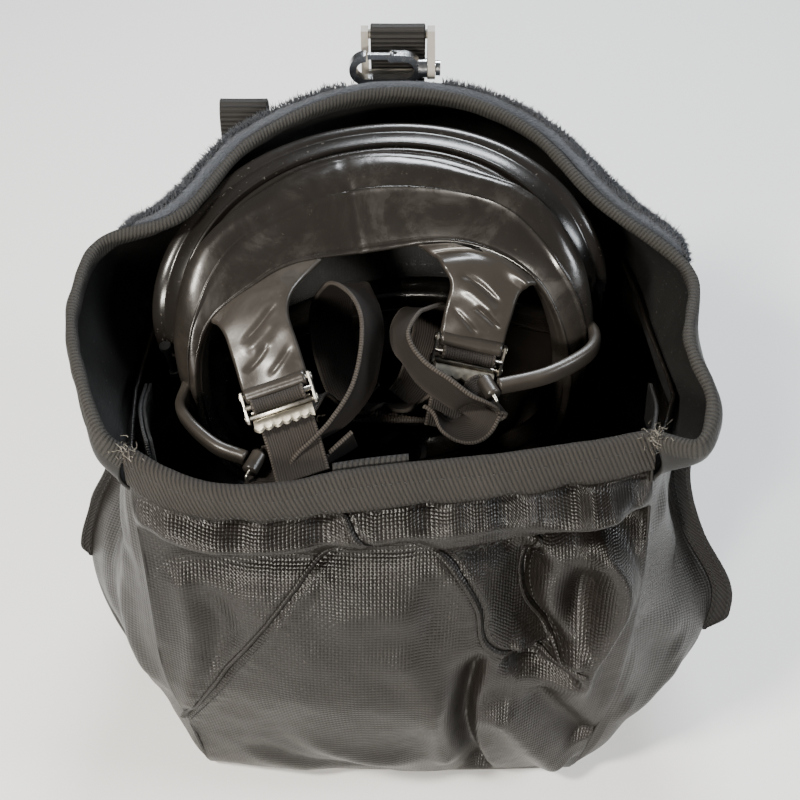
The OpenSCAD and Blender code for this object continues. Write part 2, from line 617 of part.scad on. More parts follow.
// Upper buckles: a frame that swings on its hinge bar, with a roller bar and a toothed cam
cam_y = 9.5;                  // cam's bar, beyond the hinge bar
module buckle(path) {
    in_pouch() color("#a9a7a2") on_buckle(path) {
        pin_x(bar_r, bar_l);
        translate([0, cam_y, 0]) pin_x(bar_r, bar_l);
        translate([0, 5.2, -1.6]) pin_x(1.1, bar_l);
        for (s = [-1, 1]) translate([s * (bar_l / 2 - 0.6) - 0.7, -2.4, -2.8]) cube([1.4, 14.6, 5]);
    }
}
module buckle_left() { buckle(tab_left); }
module buckle_right() { buckle(tab_right); }
module cam(path) {
    in_pouch() color("#c9c4b2") on_buckle(path) translate([0, cam_y, 0]) difference() {
        union() {
            pin_x(2.3, bar_l - 4);
            translate([-(bar_l - 5) / 2, 0.5, -2.2]) cube([bar_l - 5, 5, 1.4]);
            for (k = [-3 : 3]) translate([k * 3.7, 5.2, -2.2]) cylinder(r = 1.6, h = 1.4, $fn = 16);
        }
        pin_x(bar_r + gap, 50);
    }
}
module cam_left() { cam(tab_left); }
module cam_right() { cam(tab_right); }

// Lower wire rings: a pin through the side tab, and a wider bar for the strap
module wire_ring(at, axes) {
    in_pouch() color("#c4c4c2") at_axes(at, axes) {
        pin_x(wire_r, 15);
        translate([0, 8, 0]) pin_x(wire_r, 18.6);
        for (s = [-1, 1]) translate([s * 7, 0, 0]) rotate([-90, 0, s * -13]) cylinder(r = wire_r, h = 8.2);
    }
}
module wire_ring_left() { wire_ring(ring_left_at, ring_left); }
module wire_ring_right() { wire_ring(ring_right_at, ring_right); }

// Straps and head pad, in the pouch's frame: each strap runs from its buckle to the head pad
pad_at = [-8, -4, 160];
module harness_strap(path, sides) {
    color("#3a302a") ribbon(smooth(path, 3), smooth(sides, 3), strap_w, strap_t);
}
module strap_upper_left() {
    harness_strap([[-42, -43, 199], [-38, -36, 189], [-31, -26, 178], [-25, -16, 168.6], [-22, -10, 163.8]],
        [[1, 0.1, 0.1], [1, 0.05, 0.1], [1, 0, 0.1], [1, 0, 0], [1, 0, 0]]);
}
module strap_upper_right() {
    harness_strap([[25, -30, 191], [21, -28, 184], [14, -23, 176], [9, -16, 168.6], [6, -10, 163.8]],
        [[1, 0.1, -0.1], [1, 0, 0], [1, 0, 0], [1, 0, 0], [1, 0, 0]]);
}
module strap_lower_left() {
    harness_strap([[-46, -71, 184], [-36, -68, 193], [-25, -60, 203], [-16, -48, 212], [-16, -34, 221], [-16, -20, 227],
        [-20, -7, 230], [-24, 4, 228], [-31, 10, 214], [-32, 12, 196], [-29, 11, 177], [-25, 6, 164], [-22, -2, 159]],
        [[0.42, 0.9, 0.1], [0.4, 0.85, -0.2], [0.38, 0.7, -0.5], [0.38, 0.65, -0.65], [0.4, 0.6, -0.65], [0.5, 0.5, -0.65],
        [0.6, 0.4, -0.5], [0.8, 0.3, -0.3], [0.95, 0.2, 0], [1, 0.1, 0], [1, 0, 0], [1, 0, 0], [1, 0, 0]]);
}
module strap_lower_right() {
    harness_strap([[35, -56, 204], [24, -54, 212], [9, -44, 219.5], [2, -32, 225], [4, -20, 227], [9, -9, 224], [15, 1, 214],
        [17, 8, 198], [14, 10, 180], [9, 6, 164], [6, -2, 159]],
        [[-0.38, 0.92, 0], [-0.35, 0.85, -0.3], [-0.3, 0.7, -0.6], [-0.3, 0.6, -0.7], [-0.5, 0.5, -0.6], [-0.7, 0.4, -0.5],
        [-0.9, 0.3, -0.2], [-0.95, 0.1, 0], [-1, 0, 0], [-1, 0, 0], [-1, 0, 0]]);
}
module head_pad() {
    color("#2c2c2e") translate(pad_at) rotate([-40, 0, 0]) translate([0, 0, -6])
        linear_extrude(3) offset(r = 8) square([44, 34], center = true);
}

base_panel();
front_yoke();
front_lower_panel();
side_panel_left();
side_panel_right();
back_panel();
wing_hem_left();
wing_hem_right();
mouth_binding();
hood();
hood_binding();
fleece_band();
hook_strip_left();
hook_strip_right();
id_tab();
grab_loop();
hanger_webbing();
clip_frame();
clip_hook();
clip_gate();
face_blank();
lens();
lens_frame_upper();
lens_frame_lower();
frame_screws();
component_housing();
port_gasket();
inlet_valve_disc();
speaking_diaphragm();
diaphragm_cover();
exhalation_seat();
exhalation_disc();
exhalation_cover();
nose_cup();
nose_valve_left();
nose_valve_right();
buckle_left();
buckle_right();
cam_left();
cam_right();
wire_ring_left();
wire_ring_right();
strap_upper_left();
strap_upper_right();
strap_lower_left();
strap_lower_right();
head_pad();
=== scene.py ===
import math
import bpy
import numpy as np
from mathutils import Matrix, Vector


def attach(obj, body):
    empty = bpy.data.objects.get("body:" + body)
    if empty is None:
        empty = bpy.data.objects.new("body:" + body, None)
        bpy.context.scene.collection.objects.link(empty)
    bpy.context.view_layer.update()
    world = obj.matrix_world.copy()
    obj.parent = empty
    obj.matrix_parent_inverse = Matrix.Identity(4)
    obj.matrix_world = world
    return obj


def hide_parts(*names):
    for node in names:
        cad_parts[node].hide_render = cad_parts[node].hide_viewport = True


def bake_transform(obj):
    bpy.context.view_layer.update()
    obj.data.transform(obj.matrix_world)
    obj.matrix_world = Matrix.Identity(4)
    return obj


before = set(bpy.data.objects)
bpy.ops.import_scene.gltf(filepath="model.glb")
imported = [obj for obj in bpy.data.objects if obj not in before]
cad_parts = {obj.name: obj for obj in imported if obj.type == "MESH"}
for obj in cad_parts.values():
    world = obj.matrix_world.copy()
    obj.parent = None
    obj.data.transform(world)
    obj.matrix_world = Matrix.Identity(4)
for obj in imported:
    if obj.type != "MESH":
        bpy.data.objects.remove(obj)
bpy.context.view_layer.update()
rng = np.random.default_rng(11)
MM = 0.001


# ------------------------------------------------------------------ geometry helpers (millimetres)

def unit(v):
    v = np.asarray(v, float)
    return v / np.maximum(np.linalg.norm(v, axis=-1, keepdims=True), 1e-12)


def smooth01(x):
    x = np.clip(x, 0, 1)
    return x * x * (3 - 2 * x)


def spline(points, n, closed=False, even=True):
    """n points on a Catmull-Rom line through the points, evenly spaced."""
    p = np.asarray(points, float)
    if closed:
        q = np.vstack([p[-1], p, p[0], p[1]])
    else:
        q = np.vstack([2 * p[0] - p[1], p, 2 * p[-1] - p[-2]])
    out = []
    t = np.linspace(0, 1, 24, endpoint=False)[:, None]
    for i in range(len(q) - 3):
        a, b, c, d = q[i], q[i + 1], q[i + 2], q[i + 3]
        out.append(0.5 * (2 * b + (c - a) * t + (2 * a - 5 * b + 4 * c - d) * t**2 + (3 * b - a - 3 * c + d) * t**3))
    out = np.vstack(out + ([] if closed else [p[-1:]]))
    if not even:
        return out
    loop = np.vstack([out, out[:1]]) if closed else out
    s = np.r_[0, np.cumsum(np.linalg.norm(np.diff(loop, axis=0), axis=1))]
    want = np.linspace(0, s[-1], n, endpoint=not closed)
    return np.stack([np.interp(want, s, loop[:, k]) for k in range(p.shape[1])], 1)


class Wave:
    """Smooth seeded noise from a sum of sines."""

    def __init__(self, seed, size, stretch=(1, 1, 1), terms=18):
        r = np.random.default_rng(seed)
        k = r.normal(size=(terms, 3))
        k = unit(k) * (2 * math.pi / size) * r.uniform(0.6, 1.5, (terms, 1))
        self.k, self.p = k / np.asarray(stretch, float), r.uniform(0, 6.3, terms)

    def __call__(self, x):
        return np.sin(np.asarray(x) @ self.k.T + self.p).mean(-1) * 2.2


def grid_normals(p, wrap=False):
    du = np.gradient(p, axis=0) if not wrap else (np.roll(p, -1, 0) - np.roll(p, 1, 0)) / 2
    dv = np.gradient(p, axis=1)
    return unit(np.cross(du, dv))


def make(name, verts, faces, mat, uv=None, smooth=True, sharp=None):
    me = bpy.data.meshes.new(name)
    me.from_pydata((np.asarray(verts, float) * MM).tolist(), [], faces)
    if uv is not None:
        layer = me.uv_layers.new(name="UVMap")
        idx = np.zeros(len(me.loops), np.int32)
        me.loops.foreach_get("vertex_index", idx)
        layer.data.foreach_set("uv", (np.asarray(uv, float)[idx] * MM).astype(np.float32).ravel())
    me.polygons.foreach_set("use_smooth", [smooth] * len(me.polygons))
    if sharp:
        me.set_sharp_from_angle(angle=math.radians(sharp))
    for m in mat if isinstance(mat, list) else [mat]:
        me.materials.append(m)
    me.update()
    o = bpy.data.objects.new(name, me)
    bpy.context.scene.collection.objects.link(o)
    return o


def grid_uv(p):
    su = np.r_[np.zeros((1, p.shape[1])), np.cumsum(np.linalg.norm(np.diff(p, axis=0), axis=2), 0)]
    sv = np.c_[np.zeros((p.shape[0], 1)), np.cumsum(np.linalg.norm(np.diff(p, axis=1), axis=2), 1)]
    return np.stack([su.mean(1)[:, None] + 0 * su, sv], -1)


def cloth(name, p, mat, t=1.6, flip=False, wrap=False, uv=None, smooth=True):
    """A sheet with thickness t from a grid of points p (rows, columns, 3); t goes to the side its normals leave."""
    n, m = p.shape[:2]
    nrm = grid_normals(p, wrap) * (-1 if flip else 1)
    q = p - nrm * t
    uv = grid_uv(p) if uv is None else uv
    verts = np.vstack([p.reshape(-1, 3), q.reshape(-1, 3)])
    o = n * m
    rows = range(n if wrap else n - 1)
    f = []
    for i in rows:
        a, b = i * m, ((i + 1) % n) * m
        for j in range(m - 1):
            f.append((a + j, b + j, b + j + 1, a + j + 1))
            f.append((o + a + j, o + a + j + 1, o + b + j + 1, o + b + j))
        f.append((a, o + a, o + b, b))
        f.append((a + m - 1, b + m - 1, o + b + m - 1, o + a + m - 1))
    if not wrap:
        for j in range(m - 1):
            f.append((j, j + 1, o + j + 1, o + j))
            k = (n - 1) * m
            f.append((k + j, o + k + j, o + k + j + 1, k + j + 1))
    if flip:
        f = [tuple(reversed(x)) for x in f]
    return make(name, verts, f, mat, np.vstack([uv.reshape(-1, 2)] * 2), smooth)


def frames(path, up):
    """Unit vectors along, across and up for every point of a path; up is one vector or one for each point."""
    along = unit(np.gradient(path, axis=0))
    up = np.broadcast_to(np.asarray(up, float), path.shape)
    side = unit(np.cross(along, up))
    return along, side, np.cross(side, along)


def sweep(name, path, section, mat, up=(0, 0, 1), scale=None, closed=False, smooth=True, sharp=None):
    """Moves a closed 2-D section (across, up) along a path."""
    along, side, top = frames(path, up)
    if closed:
        along = unit(np.roll(path, -1, 0) - np.roll(path, 1, 0))
        up_ = np.broadcast_to(np.asarray(up, float), path.shape)
        side = unit(np.cross(along, up_))
        top = np.cross(side, along)
    section = np.asarray(section, float)
    n, m = len(path), len(section)
    sc = np.ones((n, 2)) if scale is None else np.asarray(scale, float).reshape(n, -1) * np.ones((n, 2))
    p = path[:, None] + side[:, None] * (section[None, :, 0:1] * sc[:, None, 0:1]) + top[:,
        None] * (section[None, :, 1:2] * sc[:, None, 1:2])
    s = np.r_[0, np.cumsum(np.linalg.norm(np.diff(path, axis=0), axis=1))]
    around = np.r_[0, np.cumsum(np.linalg.norm(np.diff(section, axis=0), axis=1))]
    uv = np.stack([s[:, None] + 0 * around[None], around[None] + 0 * s[:, None]], -1).reshape(-1, 2)
    f = []
    for i in range(n if closed else n - 1):
        a, b = i * m, ((i + 1) % n) * m
        for j in range(m):
            k = (j + 1) % m
            f.append((a + j, a + k, b + k, b + j))
    if not closed:
        f.append(tuple(reversed(range(m))))
        f.append(tuple(range((n - 1) * m, n * m)))
    return make(name, p.reshape(-1, 3), f, mat, uv, smooth, sharp)


def oval(a, b, n=16, power=2.0):
    t = np.linspace(0, 2 * math.pi, n, endpoint=False)
    c, s = np.cos(t), np.sin(t)
    return np.stack([a * np.sign(c) * abs(c) ** (2 / power), b * np.sign(s) * abs(s) ** (2 / power)], 1)


def strap_section(w, t):
    """A woven strap: flat, with rounded thicker edges."""
    x = w / 2
    return np.array([[-x, 0], [-x + .3 * t, -.55 * t], [-x + 1.2, -.5 * t], [-x / 2, -.46 * t], [0, -.45 * t],
        [x / 2, -.46 * t],
                     [x - 1.2, -.5 * t], [x - .3 * t, -.55 * t], [x, 0], [x - .3 * t, .55 * t], [x - 1.2, .5 * t],
                     [x / 2, .46 * t], [0, .45 * t], [-x / 2, .46 * t], [-x + 1.2, .5 * t], [-x + .3 * t, .55 * t]])


def join(objs, name):
    """One object from several."""
    bpy.ops.object.select_all(action="DESELECT")
    for o in objs:
        o.select_set(True)
    bpy.context.view_layer.objects.active = objs[0]
    bpy.ops.object.join()
    objs[0].name = name
    objs[0].data.name = name
    return objs[0]


def stitches(name, path, normal, mat, pitch=2.6, length=1.9, r=0.32, lift=0.15):
    """A row of thread stitches along a path, on the side that normal points to."""
    path = np.asarray(path, float)
    s = np.r_[0, np.cumsum(np.linalg.norm(np.diff(path, axis=0), axis=1))]
    normal = unit(np.broadcast_to(np.asarray(normal, float), path.shape))
    count = max(1, int(s[-1] / pitch))
    verts, faces = [], []
    ring = 5
    for k in range(count):
        mid = (k + .5) * pitch
        ts = mid + np.linspace(-.5, .5, 5) * length
        if ts[-1] > s[-1]:
            break
        c = np.stack([np.interp(ts, s, path[:, i]) for i in range(3)], 1)
        nn = unit(np.stack([np.interp(ts, s, normal[:, i]) for i in range(3)], 1))
        along = unit(c[-1] - c[0])
        side = unit(np.cross(along, nn))
        size = np.array([.35, .9, 1, .9, .35])
        c = c + nn * (lift + np.array([-.5, .1, .22, .1, -.5])[:, None] * r * 1.6)
        base = len(verts)
        for i in range(5):
            for j in range(ring):
                t = 2 * math.pi * j / ring
                verts.append(c[i] + (side[i] * math.cos(t) + nn[i] * math.sin(t)) * r * size[i])
        for i in range(4):
            for j in range(ring):
                a, b = base + i * ring + j, base + i * ring + (j + 1) % ring
                faces.append((a, b, b + ring, a + ring))
        faces.append(tuple(base + j for j in reversed(range(ring))))
        faces.append(tuple(base + 4 * ring + j for j in range(ring)))
    return make(name, np.array(verts), faces, mat)


# ------------------------------------------------------------------ materials

class Mat:
    """Small builder for a Principled material."""

    def __init__(self, name, color, rough=0.5, metallic=0.0, **more):
        self.m = bpy.data.materials.new(name)
        self.m.use_nodes = True
        self.nt = self.m.node_tree
        self.b = self.nt.nodes["Principled BSDF"]
        self.set("Base Color", (*color, 1))
        self.set("Roughness", rough)
        self.set("Metallic", metallic)
        for k, v in more.items():
            self.set(k.replace("_", " "), v)

    def set(self, socket, value):
        self.b.inputs[socket].default_value = value

    def node(self, kind, **values):
        n = self.nt.nodes.new(kind)
        for k, v in values.items():
            if k in ("operation", "data_type", "blend_type", "feature", "bands_direction", "wave_type",
                "noise_dimensions", "clamp", "wave_profile", "distance", "use_clamp"):
                setattr(n, k, v)
            else:
                n.inputs[k.replace("_", " ")].default_value = v
        return n

    def link(self, a, b):
        self.nt.links.new(a, b)

    def math(self, op, a, b=None, c=None):
        n = self.nt.nodes.new("ShaderNodeMath")
        n.operation = op
        for i, x in enumerate((a, b, c)):
            if x is None:
                continue
            if isinstance(x, (int, float)):
                n.inputs[i].default_value = x
            else:
                self.link(x, n.inputs[i])
        return n.outputs[0]

    def coords(self, kind="Object", scale=(1, 1, 1)):
        t = self.nt.nodes.new("ShaderNodeTexCoord")
        mp = self.nt.nodes.new("ShaderNodeMapping")
        mp.inputs["Scale"].default_value = scale
        self.link(t.outputs[kind], mp.inputs["Vector"])
        return mp.outputs["Vector"]

    def noise(self, scale, detail=4, rough=0.55, co=None, distortion=0):
        n = self.node("ShaderNodeTexNoise", Scale=scale, Detail=detail, Roughness=rough, Distortion=distortion)
        self.link(co or self.coords(), n.inputs["Vector"])
        return n.outputs["Fac"]

    def ramp(self, fac, stops):
        n = self.nt.nodes.new("ShaderNodeValToRGB")
        self.link(fac, n.inputs["Fac"])
        e = n.color_ramp.elements
        while len(e) < len(stops):
            e.new(0.5)
        for el, (pos, col) in zip(e, stops):
            el.position = pos
            el.color = (*col, 1) if hasattr(col, "__len__") else (col, col, col, 1)
        return n.outputs["Color"]

    def mix(self, fac, a, b, blend="MIX"):
        n = self.nt.nodes.new("ShaderNodeMix")
        n.data_type = "RGBA"
        n.blend_type = blend
        for i, x in ((0, fac), (6, a), (7, b)):
            if isinstance(x, (int, float)):
                n.inputs[i].default_value = x if i == 0 else (x, x, x, 1)
            elif isinstance(x, tuple):
                n.inputs[i].default_value = (*x, 1)
            else:
                self.link(x, n.inputs[i])
        return n.outputs[2]

    def bump(self, height, dist, strength=1.0):
        n = self.node("ShaderNodeBump", Strength=strength, Distance=dist)
        self.link(height, n.inputs["Height"])
        old = self.b.inputs["Normal"]
        if old.is_linked:
            self.link(old.links[0].from_socket, n.inputs["Normal"])
        self.link(n.outputs["Normal"], self.b.inputs["Normal"])
        return self

    def to(self, socket, out):
        self.link(out, self.b.inputs[socket])
        return self

    def weave(self, pitch, co=None, turn=0.0):
        """Height of a plain weave, from UVs in metres."""
        v = co or self.coords("UV", (1, 1, 1))
        if turn:
            v.node.inputs["Rotation"].default_value = (0, 0, turn)
        s = self.nt.nodes.new("ShaderNodeSeparateXYZ")
        self.link(v, s.inputs[0])
        u, w = (self.math("DIVIDE", s.outputs[i], pitch) for i in (0, 1))
        a = self.math("ABSOLUTE", self.math("SINE", self.math("MULTIPLY", u, math.pi)))
        b = self.math("ABSOLUTE", self.math("SINE", self.math("MULTIPLY", w, math.pi)))
        par = self.math("MODULO", self.math("ADD", self.math("FLOOR", u),
            self.math("FLOOR", self.math("ADD", w, 1000.0))), 2.0)
        par = self.math("ABSOLUTE", par)
        h1 = self.math("MULTIPLY", self.math("POWER", a, 0.6), self.math("ADD", self.math("MULTIPLY", b, 0.6), 0.25))
        h2 = self.math("MULTIPLY", self.math("POWER", b, 0.6), self.math("ADD", self.math("MULTIPLY", a, 0.6), 0.25))
        return self.math("ADD", self.math("MULTIPLY", h1, par),
            self.math("MULTIPLY", h2, self.math("SUBTRACT", 1.0, par)))

    def ribs(self, pitch, axis=0, slant=0.0, co=None):
        """Height of rounded ribs across UV axis 0 or 1, in metres."""
        v = co or self.coords("UV", (1, 1, 1))
        s = self.nt.nodes.new("ShaderNodeSeparateXYZ")
        self.link(v, s.inputs[0])
        x = s.outputs[axis]
        if slant:
            x = self.math("ADD", x, self.math("MULTIPLY", s.outputs[1 - axis], slant))
        return self.math("ABSOLUTE", self.math("SINE", self.math("MULTIPLY", x, math.pi / pitch)))


def coated_cloth(name, color, pitch=0.00145, rough=0.40, weave=0.00022, coat=0.12, dust=0.35):
    m = Mat(name, color, rough, Specular_IOR_Level=0.33, Coat_Weight=coat, Coat_Roughness=0.3)
    w = m.weave(pitch)
    big, mid, fine = m.noise(9, 5), m.noise(60, 6, 0.6), m.noise(900, 3)
    worn = m.ramp(m.math("ADD", m.math("MULTIPLY", big, 0.6), m.math("MULTIPLY", mid, 0.4)),
        [(0.38, 0.0), (0.68, 1.0)])
    dark, light = tuple(c * 0.6 for c in color), tuple(min(1, c * 1.5 + 0.004) for c in color)
    base = m.mix(worn, dark, light)
    # painted shade: the weave's low points are darkened in the base colour, standing in for shade between the threads
    base = m.mix(m.math("MULTIPLY", m.math("SUBTRACT", 1.0, w), 0.45), base, tuple(c * 0.35 for c in color))
    speck = m.ramp(m.noise(420, 2, 0.7), [(0.66, 0.0), (0.74, 1.0)])
    base = m.mix(m.math("MULTIPLY", speck, 0.16 * dust), base, (0.3, 0.27, 0.22))
    m.to("Base Color", base)
    m.to("Roughness", m.math("ADD", m.math("MULTIPLY", mid, 0.28), rough - 0.12))
    m.bump(m.math("ADD", w, m.math("MULTIPLY", fine, 0.35)), weave)
    m.bump(mid, 0.0006, 0.5)
    return m.m


def woven_tape(name, color, pitch, axis=0, slant=0.0, depth=0.0004, rough=0.75, worn=0.5, fine=0.0006):
    m = Mat(name, color, rough, Specular_IOR_Level=0.3)
    r = m.ribs(pitch, axis, slant)
    t = m.weave(fine)
    n = m.noise(45, 6, 0.65)
    fuzz = m.noise(1500, 2)
    base = m.mix(m.math("MULTIPLY", n, worn), tuple(c * 0.6 for c in color),
        tuple(min(1, c * 1.5 + .01) for c in color))
    # painted shade: the valleys between the ribs are darkened in the base colour, standing in for shade in the
    # grooves
    base = m.mix(m.math("MULTIPLY", m.math("SUBTRACT", 1.0, r), 0.6), base, tuple(c * 0.25 for c in color))
    m.to("Base Color", base)
    m.bump(r, depth)
    m.bump(m.math("ADD", t, fuzz), depth * 0.3)
    return m.m


def rubber(name, color, rough=0.35, dust=0.4, coat=0.25):
    m = Mat(name, color, rough, Coat_Weight=coat * .6, Coat_Roughness=0.2, Specular_IOR_Level=0.4)
    n, f = m.noise(14, 6, 0.6), m.noise(380, 4, 0.6)
    smear = m.ramp(m.noise(30, 7, 0.7, distortion=0.6), [(0.45, 0.0), (0.7, 1.0)])
    base = m.mix(n, tuple(c * 0.7 for c in color), tuple(c * 1.3 + 0.004 for c in color))
    base = m.mix(m.math("MULTIPLY", smear, 0.06 * dust), base, (0.26, 0.22, 0.17))
    speck = m.ramp(m.noise(700, 2, 0.6), [(0.69, 0.0), (0.75, 1.0)])
    base = m.mix(m.math("MULTIPLY", speck, 0.16 * dust), base, (0.3, 0.27, 0.22))
    m.to("Base Color", base)
    m.to("Roughness", m.math("ADD", m.math("MULTIPLY", smear, 0.25), rough - 0.08))
    m.bump(f, 0.00012, 0.5)
    m.bump(n, 0.0009, 0.35)
    return m.m


def metal(name, color, rough=0.28, scratch=0.4, co_scale=(1, 1, 1)):
    m = Mat(name, color, rough, 1.0)
    n, f = m.noise(60, 6, 0.65), m.noise(400, 5, 0.6, co=m.coords("Object", co_scale))
    m.to("Base Color", m.mix(m.ramp(n, [(0.35, 0.0), (0.75, 1.0)]), tuple(c * 0.62 for c in color), color))
    m.to("Roughness", m.math("ADD", m.math("MULTIPLY", f, 0.35), rough - 0.12))
    m.bump(f, 0.00008, scratch)
    return m.m


def plastic(name, color, rough=0.4, grain=0.00006, dust=0.3):
    m = Mat(name, color, rough, Specular_IOR_Level=0.5)
    n, f = m.noise(22, 6, 0.6), m.noise(1100, 3, 0.5)
    base = m.mix(n, tuple(c * 0.8 for c in color), tuple(min(1, c * 1.15 + .004) for c in color))
    speck = m.ramp(m.noise(520, 2, 0.6), [(0.68, 0.0), (0.75, 1.0)])
    m.to("Base Color", m.mix(m.math("MULTIPLY", speck, 0.3 * dust), base, (0.4, 0.37, 0.33)))
    m.to("Roughness", m.math("ADD", m.math("MULTIPLY", m.noise(70, 6, 0.65), 0.25), rough - 0.12))
    m.bump(f, grain, 0.6)
    return m.m


def hood_cloth(name, color, rough=0.5):
    m = Mat(name, color, rough, Specular_IOR_Level=0.3)
    w = m.weave(0.0008)
    n, mid = m.noise(12, 6, 0.62), m.noise(90, 5, 0.6)
    base = m.mix(n, tuple(c * 0.6 for c in color), tuple(c * 1.7 + .003 for c in color))
    lint = m.ramp(m.noise(800, 2, 0.7), [(0.68, 0.0), (0.74, 1.0)])
    m.to("Base Color", m.mix(m.math("MULTIPLY", lint, 0.16), base, (0.3, 0.3, 0.3)))
    m.to("Roughness", m.math("ADD", m.math("MULTIPLY", n, 0.25), rough - 0.1))
    m.bump(w, 0.00007)
    m.bump(mid, 0.0005, 0.5)
    return m.m


CLOTH = coated_cloth("coated_cloth", (0.0074, 0.0055, 0.0040), 0.0016, 0.33, 0.00024, 0.0)
CLOTH_SIDE = coated_cloth("coated_cloth_side", (0.0080, 0.0062, 0.0048), 0.0016, 0.35, 0.00022, 0.0)
HOOD = hood_cloth("hood_cloth", (0.0055, 0.0052, 0.005))
BIND = woven_tape("binding_ribbed", (0.030, 0.026, 0.022), 0.0019, 0, 0.35, 0.00055)
BIND_HOOD = woven_tape("binding_hood", (0.030, 0.028, 0.025), 0.0017, 0, 0.2, 0.0004)
HEM = woven_tape("hem_tape", (0.022, 0.0195, 0.018), 0.0024, 1, 0.9, 0.0005)
WEB = woven_tape("webbing_black", (0.014, 0.0125, 0.011), 0.0022, 0, 0.0, 0.0004, 0.6)
ELASTIC = woven_tape("elastic_brown", (0.020, 0.0155, 0.0125), 0.0011, 1, 0.0, 0.00022, 0.72, fine=0.0005)
ELASTIC_EDGE = woven_tape("elastic_edge", (0.055, 0.046, 0.038), 0.0012, 0, 0.0, 0.0003, 0.7)
THREAD = Mat("thread", (0.008, 0.0075, 0.007), 0.6).m
THREAD_PALE = Mat("thread_pale", (0.17, 0.155, 0.13), 0.8).m
RUBBER = rubber("black_rubber", (0.0105, 0.0088, 0.0072), 0.28)
# painted sheen: the tabs' base colour is paler than the face blank's black rubber, standing in for their satin
# reflection; the dust on them is real
TAB_RUBBER_PAINTED_SHEEN = rubber("tab_rubber_painted_sheen", (0.026, 0.0225, 0.019), 0.36, 0.6, 0.3)
NOSE = rubber("nose_cup_rubber", (0.02, 0.02, 0.021), 0.55, 0.2, 0.0)
VALVE = rubber("valve_rubber", (0.30, 0.075, 0.04), 0.5, 0.15, 0.0)
FRAME_MAT = plastic("frame_gloss_black", (0.0085, 0.0072, 0.0062), 0.24, 0.00004, 0.5)
HOUSING = plastic("housing_black", (0.020, 0.020, 0.021), 0.42)
COVER = plastic("cover_black", (0.030, 0.030, 0.031), 0.5)
CLIP_GREY = plastic("clip_grey", (0.30, 0.28, 0.245), 0.42, 0.0001, 0.6)
STEEL = metal("buckle_steel", (0.62, 0.59, 0.53), 0.26)
CAM = metal("cam_steel", (0.74, 0.69, 0.58), 0.33)
CHROME = metal("clip_chrome", (0.78, 0.79, 0.80), 0.16)
SCREW = metal("screw_steel", (0.05, 0.05, 0.052), 0.4)
FILM = plastic("diaphragm_film", (0.55, 0.45, 0.27), 0.3)


def lens_material():
    m = Mat("lens_clear", (0.55, 0.56, 0.57), 0.03, IOR=1.52, Transmission_Weight=0.94)
    dust = m.ramp(m.noise(26, 9, 0.72, distortion=0.4), [(0.45, 0.0), (0.8, 1.0)])
    speck = m.ramp(m.noise(900, 2, 0.6), [(0.66, 0.0), (0.72, 1.0)])
    d = m.node("ShaderNodeBsdfDiffuse", Color=(0.20, 0.19, 0.18, 1))
    mix = m.nt.nodes.new("ShaderNodeMixShader")
    fac = m.math("ADD", m.math("MULTIPLY", dust, 0.05), m.math("MULTIPLY", speck, 0.22))
    m.link(fac, mix.inputs[0])
    m.link(m.b.outputs[0], mix.inputs[1])
    m.link(d.outputs[0], mix.inputs[2])
    out = m.nt.nodes["Material Output"]
    m.link(mix.outputs[0], out.inputs["Surface"])
    m.to("Roughness", m.math("ADD", m.math("MULTIPLY", dust, 0.06), 0.02))
    return m.m


LENS = lens_material()


def pile_material():
    m = Mat("pile_blue_grey", (0.035, 0.042, 0.055), 0.9, Sheen_Weight=0.12, Sheen_Roughness=0.6)
    m.to("Base Color", m.mix(m.noise(120, 5, 0.7), (0.008, 0.009, 0.012), (0.06, 0.07, 0.09)))
    m.bump(m.noise(600, 4, 0.7), 0.002)
    return m.m


PILE = pile_material()


def hook_tape_material():
    m = Mat("hook_tape", (0.012, 0.012, 0.012), 0.6)
    m.bump(m.ribs(0.0016, 0), 0.0008)
    m.bump(m.ribs(0.0013, 1), 0.0008)
    m.to("Base Color", m.mix(m.noise(300, 3), (0.006, 0.006, 0.006), (0.03, 0.03, 0.032)))
    return m.m


HOOK_TAPE = hook_tape_material()


# ------------------------------------------------------------------ the pouch

Z_KEYS = [0, 12, 30, 60, 80, 100, 130, 158, 190, 214]


def soft_interp(z, keys, vals):
    """Smooth curve through (key, value) pairs."""
    c = spline(np.stack([keys, vals], 1).astype(float), 400, even=False)
    o = np.argsort(c[:, 0])
    return np.interp(z, c[o, 0], c[o, 1])


FRONT = {-1: ([-94, -96.5, -98.5, -102.5, -107, -109, -109, -109.5, -111, -111],
              [-100, -105, -107, -107, -106, -104, -101, -96, -88, -84]),
         1: ([86, 89, 92, 98, 101, 103, 105, 106, 105.5, 104],
             [-103, -106, -107, -106, -104, -102, -98, -91, -81, -75])}
WING_KEYS = [0, 12, 30, 60, 88, 120, 149, 180, 214]
WING = {-1: ([-94.5, -100, -110, -142, -152.5, -144.5, -131, -122, -113],
    [-100, -97, -88, -56, -37, -31, -30, -32, -34]),
        1: ([87, 98, 113, 139, 151, 134, 124.5, 123, 118], [-102, -98, -92, -77, -60, -47, -40, -37, -36])}
BACK_KEYS = [0, 12, 50, 100, 150, 200, 214]
BACK = ([84, 90, 97, 104, 106, 101, 99], [83, 90, 99, 107, 104, 93, 90])
TOP = np.array([[-111, -84, 214.5], [-95, -90, 209], [-75, -94, 205.6], [-50, -93, 205.4], [-25, -89, 207.6],
                [0, -87, 209.4], [40, -85, 211.4], [80, -80, 213.4], [104, -75, 214.5]], float)
top_line = spline(TOP, 300, even=False)


def front_edge(side, z):
    x, y = FRONT[side]
    return np.stack([soft_interp(z, Z_KEYS, x), soft_interp(z, Z_KEYS, y), z], -1)


def wing_edge(side, z):
    x, y = WING[side]
    return np.stack([soft_interp(z, WING_KEYS, x), soft_interp(z, WING_KEYS, y), z], -1)


def back_edge(side, z):
    x, y = BACK
    return np.stack([side * soft_interp(z, BACK_KEYS, x), soft_interp(z, BACK_KEYS, y), z], -1)


